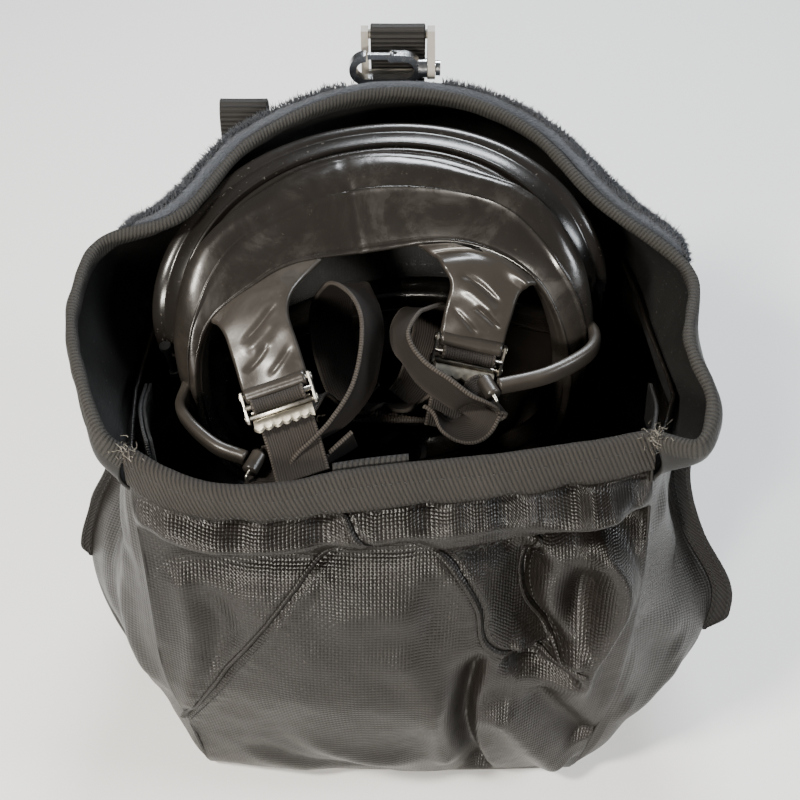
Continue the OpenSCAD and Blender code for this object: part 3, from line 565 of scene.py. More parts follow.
def to_path(x, z, path, reach=80):
    """Distance from every (x, z) to a path, its side (+1 is right of it) and how far along it is, 0 to 1."""
    path = spline(np.asarray(path, float), 60)
    best = np.full(x.shape, 1e9)
    side, along = np.zeros(x.shape), np.zeros(x.shape)
    for i in range(len(path) - 1):
        a, b = path[i], path[i + 1]
        d = b - a
        t = np.clip(((x - a[0]) * d[0] + (z - a[1]) * d[1]) / (d @ d), 0, 1)
        px, pz = x - a[0] - t * d[0], z - a[1] - t * d[1]
        dist = np.hypot(px, pz)
        take = dist < best
        best = np.where(take, dist, best)
        side = np.where(take, np.sign(d[0] * pz - d[1] * px) * -1, side)
        along = np.where(take, (i + t) / (len(path) - 1), along)
    return best, side, along


def fade(s, a=0.12, b=0.12):
    return smooth01(s / a) * smooth01((1 - s) / b)


SEAM_LEFT = [(-5.8, 171.4), (-12, 170.6), (-26.1, 164.1), (-45.0, 146.7), (-67.9, 112.9), (-85.6, 83.8), (-102.1, 54)]
SEAM_RIGHT = [(-24.5, 190.6), (-15.8, 179.5), (-5.8, 171.4), (14.4, 165.1), (26.9, 152.1), (35.2, 134.5),
    (38.3, 115.9),
              (49.5, 104.9), (67.0, 100.7), (84, 102)]
GUSSET_RIGHT = [(61.3, 163), (54.9, 146.3), (56.8, 128.1), (65.1, 113.4), (73.4, 102)]
POCKET_RIDGE = [(78, 170), (92, 160), (99, 143), (92, 119), (85, 97), (84, 62)]
LOW_FOLD = [(38.5, 113), (33, 90), (31, 66), (34, 40), (44, 4)]

w_mid, w_small = Wave(5, 62), Wave(8, 24)
w_fine = Wave(21, 9, terms=26)
w_crease = Wave(33, 34, (1, 1, 2.6))


def front_relief(x, z, top):
    """How far the front cloth stands out, in mm, at (x, z); top is the height of the mouth there."""
    r = np.zeros(x.shape)
    q = np.stack([x, 0 * x, z], -1)
    below = top - z
    # the gathered ridge and valley under the binding
    wob = w_mid(q * [1, 1, 0.3])
    r += -2.6 * np.exp(-((below - 20 - 1.2 * wob) / 3.2) ** 2) * smooth01((x + 108) / 20)
    r += 4.6 * np.exp(-((below - 29 - 2.5 * wob) / 6.0) ** 2)
    r += -5.6 * np.exp(-((below - 45 - 4 * wob + 0.05 * (x + 20)) / 8.0) ** 2) * smooth01((x + 108) / 40)
    for cx, cz in ((-66, 186), (-32, 185), (12, 188), (44, 190), (70, 193)):
        d = (x - cx) / 5.5
        r += (-2.0 * np.exp(-d * d) * np.exp(-((z - cz) / 8) ** 2)
              + 1.3 * np.exp(-(((x - cx) - 9) / 5) ** 2) * np.exp(-((z - cz) / 7) ** 2))
    # long soft folds that fall from the corners
    d, s, a = to_path(x, z, [(-104, 186), (-60, 176), (-30, 168)])
    r += 2.6 * np.exp(-(d / 7) ** 2) * fade(a)
    d, s, a = to_path(x, z, [(0, 172), (30, 172), (60, 176), (98, 190)])
    r += 6.4 * np.exp(-(d / 6.5) ** 2) * fade(a, 0.2, 0.1)
    d, s, a = to_path(x, z, [(14, 160), (40, 160), (70, 172), (100, 176)])
    r += -6.0 * np.exp(-(d / 6) ** 2) * fade(a, 0.25, 0.2)
    # the shield panel lies over the yoke along the two seams
    dl, sl, al = to_path(x, z, SEAM_LEFT)
    dr, sr, ar = to_path(x, z, SEAM_RIGHT)
    for d, a in ((dl, al), (dr, ar)):
        r += -0.9 * np.exp(-(d / 1.4) ** 2) * fade(a, .03, .03) + 0.5 * np.exp(-((d - 4) / 3) ** 2) * fade(a, .03,
            .03)
        r += 0.12 * np.sin(a * 60 + 3 * np.sin(a * 31)) * np.exp(-((d - 5) / 5) ** 2) * fade(a)
    # the bulge of the lower panel and the hollow to the right of it
    r += 6.5 * np.exp(-((x + 22) / 46) ** 2 - ((z - 92) / 44) ** 2)
    r += 3.0 * np.exp(-((x + 62) / 22) ** 2 - ((z - 150) / 22) ** 2)
    d, s, a = to_path(x, z, GUSSET_RIGHT)
    r += -11.0 * np.exp(-(np.where(s > 0, d / 14, d / 6.5)) ** 2) * fade(a, .18, .10)
    r += -1.6 * np.exp(-(d / 1.5) ** 2) * fade(a, .05, .05)
    d, s, a = to_path(x, z, POCKET_RIDGE)
    r += 9.5 * np.exp(-(np.where(s > 0, d / 13, d / 4)) ** 2) * fade(a, .12, .3)
    r += -8.5 * np.exp(-((x - 80) / 8) ** 2 - ((z - 134) / 19) ** 2)
    # the seam's end curls up, with a fold hanging below it
    d, s, a = to_path(x, z, [(44, 103), (58, 97), (74, 95), (84, 92)])
    r += -5.0 * np.exp(-(d / 4.0) ** 2) * fade(a, .2, .2)
    d, s, a = to_path(x, z, [(48, 110), (60, 107), (74, 107), (85, 108)])
    r += 3.2 * np.exp(-(d / 3.5) ** 2) * fade(a, .2, .2)
    d, s, a = to_path(x, z, LOW_FOLD)
    r += -7.5 * np.exp(-(np.where(s > 0, d / 9, d / 2.8)) ** 2) * fade(a, .2, .1)
    d, s, a = to_path(x, z, [(26, 104), (20, 78), (20, 52), (28, 20)])
    r += 4.2 * np.exp(-(d / 8) ** 2) * fade(a, .3, .2)
    d, s, a = to_path(x, z, [(40, 78), (58, 50), (80, 12)])
    r += 5.2 * np.exp(-(d / 9) ** 2) * fade(a, .2, .1)
    d, s, a = to_path(x, z, [(60, 84), (74, 60), (90, 34)])
    r += -4.0 * np.exp(-(d / 7) ** 2) * fade(a, .2, .1)
    # left gusset side
    d, s, a = to_path(x, z, [(-97, 160), (-92, 120), (-97, 82), (-99, 60)])
    r += 2.6 * np.exp(-(d / 6) ** 2) * fade(a)
    d, s, a = to_path(x, z, [(-84, 150), (-78, 120), (-88, 92)])
    r += -2.2 * np.exp(-(d / 7) ** 2) * fade(a, .3, .3)
    for path, h, w in (([(-60, 60), (-20, 38), (20, 30)], 2.4, 8), ([(-84, 40), (-40, 22), (0, 14)], -2.2, 6),
                       ([(-40, 130), (-8, 136), (16, 128)], 1.8, 10), ([(-10, 120), (10, 96), (14, 60)], 1.5, 9)):
        d, s, a = to_path(x, z, path)
        r += h * np.exp(-(d / w) ** 2) * fade(a, .3, .3)
    # wrinkles
    r += 1.5 * w_mid(q) + 0.55 * w_small(q)
    r += 0.8 * (np.abs(w_crease(q)) ** 0.7 - 0.5) * smooth01((x + 20) / 60)
    r += 0.10 * w_fine(q)
    edge = smooth01((112 - np.abs(x + 3)) / 9) * smooth01(z / 9) * (0.15 + 0.85 * smooth01(below / 26))
    return 1.35 * r * edge


def front_surface(u, v):
    """Front cloth at u from -1 to 1 across and v from 0 (base) to 1 (mouth)."""
    u, v = np.broadcast_arrays(np.asarray(u, float), np.asarray(v, float))
    x0 = (u + 1) / 2 * 215 - 111
    top = np.stack([np.interp(x0, top_line[:, 0], top_line[:, k]) for k in (1, 2)], -1)
    z = v * top[..., 1]
    left, right = front_edge(-1, z), front_edge(1, z)
    p = left + (right - left) * ((u + 1) / 2)[..., None]
    bulge = soft_interp(z, [0, 30, 70, 110, 160, 200, 214], [3, 9, 10, 8, 5, 3, 0])
    p[..., 1] -= bulge * (1 - u * u)
    k = smooth01((z - 150) / 55)
    p[..., 1] += k * (top[..., 0] - (p[..., 1] * 0 - 79.5 + 4.5 * u))
    p[..., 2] = z
    r = front_relief(p[..., 0], z, top[..., 1])
    slope = 0.12 * smooth01((z - 100) / 60)
    p[..., 1] -= r
    p[..., 2] += r * slope
    return p


U, Vv = np.meshgrid(np.linspace(-1, 1, 250), np.linspace(0, 1, 230), indexing="ij")
front_pts = front_surface(U, Vv)
front = cloth("pouch_front_cloth", front_pts, CLOTH, 1.6, flip=False)


def on_front(x, z):
    """Point of the finished front cloth and its outward direction at (x, z)."""
    flat = front_pts.reshape(-1, 3)
    nrm = front_nrm.reshape(-1, 3)
    out, dirs = [], []
    for a, b in zip(np.atleast_1d(x), np.atleast_1d(z)):
        i = np.argmin((flat[:, 0] - a) ** 2 + (flat[:, 2] - b) ** 2)
        out.append([a, flat[i, 1], b])
        dirs.append(nrm[i])
    out = np.array(out)
    for _ in range(3):
        out[1:-1, 1] = (out[:-2, 1] + out[1:-1, 1] * 2 + out[2:, 1]) / 4
    return out, np.array(dirs)


front_nrm = grid_normals(front_pts)
if front_nrm[125, 115, 1] > 0:
    front_nrm = -front_nrm


def seam(name, path, offset=2.6, both=False):
    """A raised welt along a seam with a row of stitches beside it."""
    p2 = spline(np.asarray(path, float), 140)
    t = unit(np.gradient(p2, axis=0))
    side = np.stack([-t[:, 1], t[:, 0]], 1)
    parts = []
    for k in (1, -1) if both else (1,):
        q = p2 + side * offset * k
        c, n = on_front(q[:, 0], q[:, 1])
        parts.append(stitches(name + "_s" + str(k), c, n, THREAD))
    c, n = on_front(p2[:, 0] - side[:, 0] * 0.2, p2[:, 1] - side[:, 1] * 0.2)
    lip, m = on_front(p2[:, 0] - side[:, 0] * 2.4, p2[:, 1] - side[:, 1] * 2.4)
    grid = np.stack([c - n * 0.1, c + n * 0.42, (c + lip) / 2 + n * 0.5, lip + m * 0.45, lip - m * 0.6], 1)
    parts.append(cloth(name + "_welt", grid, CLOTH, 0.3))
    return join(parts, name)


front_seams = [seam("front_seam_left", SEAM_LEFT), seam("front_seam_right", SEAM_RIGHT),
    seam("front_seam_gusset", GUSSET_RIGHT)]


def ribbon_grid(path, across, half, n=9, crown=0.0):
    """Grid of points along a strap: rows follow the path, columns cross it.
    half may be one width, or one for each row."""
    along = unit(np.gradient(path, axis=0))
    side = unit(across - (across * along).sum(1, keepdims=True) * along)
    up = np.cross(side, along)
    s = np.linspace(-1, 1, n)
    half = np.broadcast_to(half, len(path))
    return path[:, None] + side[:, None] * (s[None, :, None] * half[:, None, None]) + up[:,
        None] * ((1 - s**2) * crown)[None, :, None]


def pick(grid, i, j):
    """Bilinear look-up in a grid of points at float row i and column j."""
    i, j = np.clip(i, 0, grid.shape[0] - 1.001), np.clip(j, 0, grid.shape[1] - 1.001)
    a, b = np.floor(i).astype(int), np.floor(j).astype(int)
    f, g = (i - a)[..., None], (j - b)[..., None]
    return (grid[a, b] * (1 - f) + grid[a + 1, b] * f) * (1 - g) + (grid[a, b + 1] * (1 - f) + grid[a + 1,
        b + 1] * f) * g


# Side panels: front corner, out to the widest edge, back in to the rear corner
SIDE_TOP = 200


def side_grid(side, nu=150, nv=120):
    z = 3 + np.linspace(0, 1, nv) * (SIDE_TOP - 3)
    f, w, b = front_edge(side, z), wing_edge(side, z), back_edge(side, z)
    u = np.linspace(0, 1, nu)
    p = np.empty((nu, nv, 3))
    for i, k in enumerate(u):
        p[i] = f + (w - f) * (k / .45) if k < .45 else w + (b - w) * ((k - .45) / .55)
    out = [unit(np.cross(w - f, [0, 0, 1]) * side), unit(np.cross(b - w, [0, 0, 1]) * side)]
    wave, small, fine = Wave(41 + side, 58), Wave(44 + side, 22), Wave(47 + side, 9)
    q = p * [1, 1, .6]
    r = 2.4 * wave(q) + .7 * small(q) + .1 * fine(p)
    uu = u[:, None] + 0 * z[None]
    zz = z[None] + 0 * uu
    belly = np.where(uu < .45, 3 * np.sin(np.pi * np.clip(uu / .45, 0, 1)),
        9 * np.sin(np.pi * np.clip((uu - .45) / .55, 0, 1)))
    r = r + belly * smooth01(zz / 40)
    for path, h, wd in (SIDE_FOLDS[side]):
        d, s_, a = to_path(uu * 200, zz, path)
        r = r + h * np.exp(-(d / wd) ** 2) * fade(a, .2, .2)
    edge = (smooth01(uu / .05) * smooth01((1 - uu) / .04) * smooth01(np.abs(uu - .45) / .03)
            * smooth01(zz / 8) * smooth01((SIDE_TOP + 2 - zz) / 10))
    r = r * (.06 + .94 * edge)
    n = np.where((u < .45)[:, None, None], out[0][None], out[1][None])
    t = smooth01((u - .40) / .10)[:, None, None]
    n = unit(out[0][None] * (1 - t) + out[1][None] * t)
    return p + n * r[..., None]


SIDE_FOLDS = {
    -1: [([(14, 60), (30, 110), (28, 160)], 3.5, 9), ([(50, 70), (60, 120), (66, 170)], -3, 10),
    ([(8, 150), (40, 168), (80, 150)], 2.4, 8),
         ([(120, 60), (128, 120), (120, 180)], -3.4, 12), ([(160, 30), (150, 100), (164, 170)], 3.2, 11)],
    1: [([(20, 180), (40, 150), (70, 126)], 3.2, 12), ([(6, 120), (26, 90), (60, 76)], -2.6, 10),
    ([(10, 60), (40, 50), (80, 66)], 2.6, 9),
        ([(118, 60), (126, 120), (118, 180)], -3.4, 12), ([(160, 30), (150, 100), (164, 170)], 3.2, 11)]}
sides = {}
side_objs = {}
for sd, nm in ((-1, "left"), (1, "right")):
    sides[sd] = side_grid(sd)
    side_objs[sd] = cloth("pouch_side_" + nm, sides[sd], CLOTH_SIDE, 1.6, flip=sd < 0)

# Back panel
zb = 3 + np.linspace(0, 1, 110) * (SIDE_TOP - 3)
bl, br = back_edge(-1, zb), back_edge(1, zb)
ub = np.linspace(0, 1, 120)
back_pts = bl[None] + (br - bl)[None] * ub[:, None, None]
wave_b, wave_c = Wave(61, 66), Wave(62, 24)
lift_b = 9 * np.sin(np.pi * ub)[:,
    None] + (1.8 * wave_b(back_pts) + .6 * wave_c(back_pts)) * (smooth01(ub / .06) * smooth01((1 - ub) / .06))[:,
    None] * smooth01((zb - 3) / 8)[None]
back_pts[..., 1] += lift_b
back = cloth("pouch_back_cloth", back_pts, CLOTH_SIDE, 1.6, flip=True)

# Stitched hems that stand out along the widest edges
hems = []
for sd, nm, zs in ((-1, "left", np.linspace(88, 176, 90)), (1, "right", np.linspace(72, 176, 90))):
    e = wing_edge(sd, zs)
    k = (sides[sd][0:1] * 0)[0, 0]
    d_out = unit(np.stack([np.full(90, sd * 1.0), np.full(90, -.18), np.zeros(90)], 1))
    wob = Wave(71 + sd, 30)(e)[:, None] * unit(np.array([.2, 1, 0]))
    width = (5 if sd < 0 else 9.5) * smooth01((zs - zs[0] + 2) / 9) * smooth01((zs[-1] + 5 - zs) / 9)
    s = np.linspace(-.12, 1, 9)
    g = e[:, None] + d_out[:, None] * (width[:, None, None] * s[None, :, None]) + wob[:,
        None] * (s[None, :, None] * 1.2)
    lip = cloth("hem_" + nm, g, HEM, 1.8, flip=sd > 0)
    sf = []
    for off in (.22, .78):
        c = e + d_out * (width * off)[:, None] + wob * off * 1.2
        nn = np.stack([0 * zs, -1 + 0 * zs, 0 * zs], 1)
        sf.append(stitches("hs", c + nn * .1, nn, THREAD, 2.8, 2.0))
        sf.append(stitches("hs", c - nn * 1.9, -nn, THREAD, 2.8, 2.0))
    hems.append(join([lip] + sf, "wing_hem_" + nm + "_cloth"))

# ------------------------------------------------------------------ hood
RIM = np.array([[-111, -84, 214], [-122, -79, 225], [-137, -40, 235], [-139, -13, 240], [-131, 13, 246],
    [-96, 20, 255], [-68, 60, 266],
                [-23, 82, 276], [23, 82, 276], [59, 63, 270], [88, 26, 258], [124, -7, 246], [120, -43, 238],
                [127, -68, 228],
                [120, -85, 220], [104, -75, 214]], float)
FOOT = np.array([[-110, -85, 192], [-113, -68, 192], [-118, -40, 192], [-116, -12, 192], [-112, 30, 192],
    [-105, 74, 192], [-73, 98, 192],
                 [-26, 104, 192], [26, 104, 192], [73, 98, 192], [105, 74, 192], [112, 30, 192], [116, -12, 192],
                 [118, -42, 192],
                 [112, -66, 192], [105, -79, 192]], float)
rim_p, foot_p = spline(RIM, 0, even=False), spline(FOOT, 0, even=False)
pick_i = np.linspace(0, len(rim_p) - 1, 260)
rim_c = np.stack([np.interp(pick_i, np.arange(len(rim_p)), rim_p[:, k]) for k in range(3)], 1)
foot_c = np.stack([np.interp(pick_i, np.arange(len(foot_p)), foot_p[:, k]) for k in range(3)], 1)
for _ in range(3):
    rim_c[1:-1] = (rim_c[:-2] + 2 * rim_c[1:-1] + rim_c[2:]) / 4
hood_out = unit(np.stack([foot_c[:, 0], foot_c[:, 1] - 10, 0 * foot_c[:, 0]], 1))
hw1, hw2, hw3 = Wave(81, 70, (1, 1, 3)), Wave(82, 26, (1, 1, 2.2)), Wave(83, 10)


def hood_at(t, d=0.0):
    """Row of the hood at t, 0 at its foot and 1 at its rim, d outwards."""
    t = np.asarray(t, float)
    tall = smooth01(np.linalg.norm(rim_c - foot_c, axis=1) / 45)
    p = foot_c[:, None] + (rim_c - foot_c)[:, None] * t[None, :, None]
    bulge = 9 * np.sin(np.pi * np.clip(t, 0, 1))[None] * tall[:, None]
    relief = ((2.6 * hw1(p) + 1.0 * hw2(p) + .12 * hw3(p))
              * (smooth01(t / .12) * (.12 + .88 * smooth01((1 - t) / .25)))[None] * tall[:, None])
    return p + hood_out[:, None] * (bulge + relief + d)[..., None]


hood_t = np.linspace(0, 1, 64)
hood_pts = hood_at(hood_t)
hood_obj = cloth("hood_cloth", hood_pts, HOOD, 1.5, flip=False)
hood_nrm = grid_normals(hood_pts)
if (hood_nrm[130, 30] * hood_out[130]).sum() < 0:
    hood_nrm = -hood_nrm

# Binding folded over the rim: down the outside, over the top, down the inside
down = unit(hood_pts[:, -8] - hood_pts[:, -1])
rim_n = unit(hood_nrm[:, -4])
bind_wave = Wave(91, 12)
cols = []
for dist, off in ((7.2, .3), (6.9, .9), (5, 1.15), (2.6, 1.2), (.5, 1.1), (-.6, .5), (-.9, -.75), (-.6, -2.0),
    (.5, -2.6), (2.6, -2.7), (5, -2.65), (6.6, -2.4), (6.9, -1.8)):
    wob = bind_wave(rim_c + down * dist) * (.35 if dist > 0 else .2)
    cols.append(rim_c + down * dist + rim_n * (off + wob * np.sign(off + .75))[:, None])
bind_pts = np.stack(cols, 1)
hood_bind = cloth("hood_binding_tape", bind_pts, BIND_HOOD, .7, flip=False)
bt = []
for dist, off, sg in ((5.4, -2.7, -1), (5.6, 1.15, 1)):
    c = rim_c + down * dist + rim_n * off
    bt.append(stitches("b", c, rim_n * sg, THREAD, 2.8, 2.0, .3))
hood_bind = join([hood_bind] + bt, "hood_binding_tape")

# Frayed threads at the two front corners of the hood
fray_v, fray_f = [], []
for cx, cy, cz, count in ((-111, -85, 215, 60), (104.5, -77, 215, 70)):
    for _ in range(count):
        a = np.array([cx, cy, cz]) + rng.normal(0, 1, 3) * [2.6, 1.6, 2.8]
        d = unit(rng.normal(0, 1, 3) + [0, -.5, .7])
        l = rng.uniform(1.2, 3.6)
        pts_ = [a, a + d * l * .5 + rng.normal(0, .4, 3), a + d * l + rng.normal(0, 1.0, 3)]
        b0 = len(fray_v)
        for q, r_ in zip(pts_, (.17, .14, .06)):
            for k in range(3):
                fray_v.append(q + np.array([math.cos(k * 2.1), math.sin(k * 2.1), math.cos(k * 4.0)]) * r_)
        for lvl in range(2):
            for k in range(3):
                a0, a1 = b0 + lvl * 3 + k, b0 + lvl * 3 + (k + 1) % 3
                fray_f.append((a0, a1, a1 + 3, a0 + 3))
fray = make("corner_threads", np.array(fray_v), fray_f, THREAD_PALE)

# Pile fleece behind the rim: a lumpy band covered with short fibres
i0, i1 = 74, 190
fl_t = np.linspace(.30, .985, 40)
base_in, base_out = hood_at(fl_t, 1.0)[i0:i1], hood_at(fl_t, 1.0)[i0:i1]
fluff = Wave(95, 7, terms=30)
ends = smooth01(np.arange(i1 - i0) / 8) * smooth01((i1 - 1 - i0 - np.arange(i1 - i0)) / 8)
tv = smooth01((fl_t - .30) / .12) * smooth01((1.02 - fl_t) / .05)
thick = 9.4 * ends[:, None] * (.25 + .75 * tv[None]) + .45 * fluff(base_out * .9)
base_out = base_out + hood_out[i0:i1, None] * np.maximum(thick, .5)[..., None]
n_, m_ = base_out.shape[:2]
fl_verts = np.vstack([base_out.reshape(-1, 3), base_in.reshape(-1, 3)])
fl_faces = []
for i in range(n_ - 1):
    for j in range(m_ - 1):
        a = i * m_ + j
        fl_faces += [(a, a + m_, a + m_ + 1, a + 1), (n_ * m_ + a, n_ * m_ + a + 1, n_ * m_ + a + m_ + 1,
            n_ * m_ + a + m_)]
    fl_faces += [(i * m_, n_ * m_ + i * m_, n_ * m_ + (i + 1) * m_, (i + 1) * m_),
        (i * m_ + m_ - 1, (i + 1) * m_ + m_ - 1, n_ * m_ + (i + 1) * m_ + m_ - 1, n_ * m_ + i * m_ + m_ - 1)]
for j in range(m_ - 1):
    k = (n_ - 1) * m_
    fl_faces += [(j, j + 1, n_ * m_ + j + 1, n_ * m_ + j), (k + j, n_ * m_ + k + j, n_ * m_ + k + j + 1, k + j + 1)]
fleece_base = make("fleece_base", fl_verts, fl_faces, PILE)
count = 20000
ri, rj = rng.uniform(1, n_ - 2, count), m_ - 1 - (m_ - 2) * rng.uniform(0, 1, count) ** 1.6
root = pick(base_out, ri, rj)
fn = unit(pick(grid_normals(base_out), ri, rj))
fn = fn * np.sign((fn * pick(np.repeat(hood_out[i0:i1, None], m_, 1), ri, rj)).sum(1, keepdims=True))
upz = smooth01((rj - m_ + 8) / 6)[:, None] * np.array([0, 0, 1.1])
fd = unit(fn + upz + rng.normal(0, .55, (count, 3)))
ln = rng.uniform(1.6, 3.6, count)[:, None]
# The fibres are kept short where the snap hook swings round its axis
HOOK_AXIS_Y, HOOK_AXIS_Z, HOOK_REACH = 106.8, 275, 15
hook_gap = np.hypot(root[:, 1] - HOOK_AXIS_Y, root[:, 2] - HOOK_AXIS_Z)
near_hook = ((hook_gap < HOOK_REACH) & (root[:, 0] > -26) & (root[:, 0] < 20))[:, None]
ln = np.where(near_hook, .3, ln)
curl = rng.normal(0, .5, (count, 3)) * np.where(near_hook, .2, 1)
a1 = unit(np.cross(fd, rng.normal(0, 1, (count, 3))))
a2 = np.cross(fd, a1)
rows = []
for f_, w_ in ((-.15, .22), (.55, .2)):
    c = root + fd * ln * f_ + curl * max(f_, 0)
    rows.append(np.stack([c + a1 * w_, c - a1 * w_ * .5 + a2 * w_ * .87, c - a1 * w_ * .5 - a2 * w_ * .87], 1))
tip = (root + fd * ln + curl * 1.4)[:, None]
fib = np.concatenate(rows + [tip], 1)
ff = []
for k in range(count):
    b0 = k * 7
    for a, b in ((0, 1), (1, 2), (2, 0)):
        ff += [(b0 + a, b0 + b, b0 + b + 3, b0 + a + 3), (b0 + a + 3, b0 + b + 3, b0 + 6)]
fibres = make("fleece_fibres", fib.reshape(-1, 3), ff, PILE)
fleece = join([fleece_base, fibres], "fleece_pile")

# Binding along the front edge of the mouth: a ribbed tape folded over it
mx = np.linspace(-1, 1, 300)
mouth = front_surface(mx, np.ones(300))
mn = np.tile([0., -1, 0], (300, 1))
mn[:, 0] = -np.gradient(mouth[:, 1]) / np.maximum(np.gradient(mouth[:, 0]), .01) * -1
mn = unit(mn * [1, 1, 0])
mn[mn[:, 1] > 0] *= -1
mb_wave, mb_small = Wave(101, 26), Wave(102, 7)
cols = []
for dz, off in ((-15.6, .4), (-15.2, 1.2), (-12.4, 1.6), (-8, 1.8), (-4, 1.8), (-.6, 1.6), (.7, .8), (1.0, -.8),
    (.7, -2.4), (-.6, -3.2), (-4, -3.4), (-8, -3.2), (-11.4, -2.9), (-11.8, -2.0)):
    q = mouth + [0, 0, dz]
    rel = np.interp(mouth[:, 0], mouth[:, 0], mouth[:, 1])
    under = front_surface(mx, np.clip((mouth[:, 2] + dz) / mouth[:, 2], 0, 1)) if dz < 0 else q
    q = q.copy()
    q[:, 1] = under[:, 1]
    q[:, 0] = under[:, 0]
    wob = .5 * mb_wave(q) + .22 * mb_small(q)
    cols.append(q + mn * (off + wob * np.sign(off + .8) * .6)[:, None])
mouth_pts = np.stack(cols, 1)
mouth_bind = cloth("mouth_binding_tape", mouth_pts, BIND, .7, flip=True)
ms = []
for col, dz in ((2, -15.2), (4, -5.0)):
    row = mouth_pts[:, col] + mn * .15
    row = row + [0, 0, (-13.4 if col == 2 else -3.4) - (-12.4 if col == 2 else -4)]
    ms.append(stitches("m", row, mn, THREAD, 3.0, 2.2, .36))
mouth_bind = join([mouth_bind] + ms, "mouth_binding_tape")

# Hook tape inside the front corners, with rows of small hooks
hook_objs = []
for sd, nm in ((-1, "left"), (1, "right")):
    c = spline(np.array([[sd * 103.5, -74, 199], [sd * 107.5, -62, 197], [sd * 111, -46, 193],
        [sd * 111.5, -30, 189]], float), 60)
    g = ribbon_grid(c, np.tile([0., 0, 1], (60, 1)), 9.6, 13)
    strip = cloth("hook_strip_base_" + nm, g, HOOK_TAPE, 1.3)
    inn = unit(np.array([-sd, .15, 0]))
    hv, hf = [], []
    step = 1
    for i in range(0, 59, step):
        for j in range(0, 24, step):
            a = pick(g, np.array([i + .5]), np.array([j * .5 + .25]))[0] + inn * .7
            b0 = len(hv)
            for hgt, lean_, r_ in ((0, 0, .2), (.8, 0, .18), (1.3, .35, .14), (1.0, .7, .1)):
                q = a + inn * hgt + np.array([0, 0, lean_])
                hv += [q + [0, r_, r_], q + [0, -r_, r_], q + [0, 0, -r_]]
            for l_ in range(3):
                for k in range(3):
                    x0, x1 = b0 + l_ * 3 + k, b0 + l_ * 3 + (k + 1) % 3
                    hf.append((x0, x1, x1 + 3, x0 + 3))
    hk = make("hooks", np.array(hv), hf, HOOK_TAPE)
    hook_objs.append(join([strip, hk], "hook_strip_cloth_" + nm))

# Folded webbing tab sewn inside the front edge
tab_x = np.linspace(-27.5, 3.5, 40)
tab_c = np.stack([tab_x, np.interp(tab_x, mouth[:, 0], mouth[:, 1]) + 6.2,
    np.interp(tab_x, mouth[:, 0], mouth[:, 2]) + .6 + 0 * tab_x], 1)
tab_g = np.stack([tab_c + [0, y_, z_] for y_, z_ in ((-1.3, -7.5), (-1.3, -3), (-1.25, -.4), (-.6, .6), (.3, .6),
    (1.0, -.4), (1.1, -3), (1.1, -7.5))], 1)
id_tab = cloth("id_tab_web", tab_g, WEB, .8, flip=True)
it = []
for dz in (-2.2, -5.6):
    it.append(stitches("t", tab_c[2:-2] + [0, -1.45, dz], [0, -1, 0], THREAD_PALE, 2.0, 1.4, .3))
it.append(stitches("t", tab_c[2:-2] + [0, -.1, .75], [0, -.3, 1], THREAD, 2.0, 1.4, .3))
id_tab = join([id_tab] + it, "id_tab_web")


# ------------------------------------------------------------------ loop and hanger at the back (the clip keeps its solids, further down)

def web_band(name, pts, x, w, t=1.5, mat=WEB, n=160):
    c = spline(np.array([[x, y, z] for z, y in pts], float), n)
    o = sweep(name, c, strap_section(w, t), mat, up=unit(np.cross(np.gradient(c, axis=0), [1., 0, 0])))
    return o, c


loop_o, loop_c = web_band("grab_loop_web", [[150, 117.2], [172, 113.8], [197, 106.4], [206, 112], [216, 117],
    [228, 119.4], [236, 119.8], [242, 122],
                                         [245, 126], [242, 130], [234, 132.2], [218, 129], [205, 119.2], [196, 108.8],
                                         [172, 116], [152, 119.4]], -78, 24)
hang_o, hang_c = web_band("hanger_web", [[140, 121.8], [170, 117.4], [196, 110], [216, 114.6], [236, 117],
    [252, 118.6], [268, 120.8], [279, 122.2], [286, 122.5],
                                      [289.4, 121], [290.3, 118.6], [288.6, 116], [284, 115.4], [277, 116.6],
                                      [269, 118.8], [262, 119], [256, 118.2]], -1, 26, n=240)
hang_st = [stitches("w", np.stack([np.linspace(-12, 10, 22), np.full(22, y0), np.full(22, z0)], 1), [0, -1, .1],
    THREAD, 2.2, 1.6, .35) for z0, y0 in ((264, 117.8), (259, 117.4))]
back_st = []
for c, x, w in ((loop_c, -78, 24), (hang_c, -1, 26)):
    for z0 in (152, 176):
        y0 = float(np.interp(z0, *(lambda q: (q[:, 2], q[:, 1]))(c[: 40]))) + (3.4 if x < -50 else 1.2)
        row = np.stack([np.linspace(x - w / 2 + 2, x + w / 2 - 2, 20), np.full(20, y0), np.full(20, z0)], 1)
        back_st.append(stitches("w", row, [0, 1, 0], THREAD, 2.2, 1.6, .35))
loop_o = join([loop_o] + back_st[:2], "grab_loop_web")
hang_o = join([hang_o] + back_st[2:] + hang_st, "hanger_web")


# ------------------------------------------------------------------ facepiece, in its own frame

def turn(ax, deg):
    a = math.radians(deg)
    c, s = math.cos(a), math.sin(a)
    i = {"x": ((1, 0, 0), (0, c, -s), (0, s, c)), "y": ((c, 0, s), (0, 1, 0), (-s, 0, c)),
        "z": ((c, -s, 0), (s, c, 0), (0, 0, 1))}[ax]
    return np.array(i)


M = turn("z", 5) @ turn("y", -6) @ turn("x", 8)
AT = np.array([-8., 8, 205])


def W(p):
    """Facepiece point or points to the pouch's frame."""
    return np.asarray(p, float) @ M.T + AT


def D(v):
    return np.asarray(v, float) @ M.T


HW, WRAP, RISE, DROP, LEAN = 91., 58., 50., 62., 14.
RAD = (HW * HW + WRAP * WRAP) / (2 * WRAP)
HALF_U = RAD * math.asin(HW / RAD)


def power(v, e):
    return np.sign(v) * np.abs(v) ** e


def flat_line(a):
    a = np.radians(a)
    return np.stack([HALF_U * power(np.cos(a), .75), np.where(np.sin(a) > 0, RISE, DROP) * power(np.sin(a), .75)], -1)


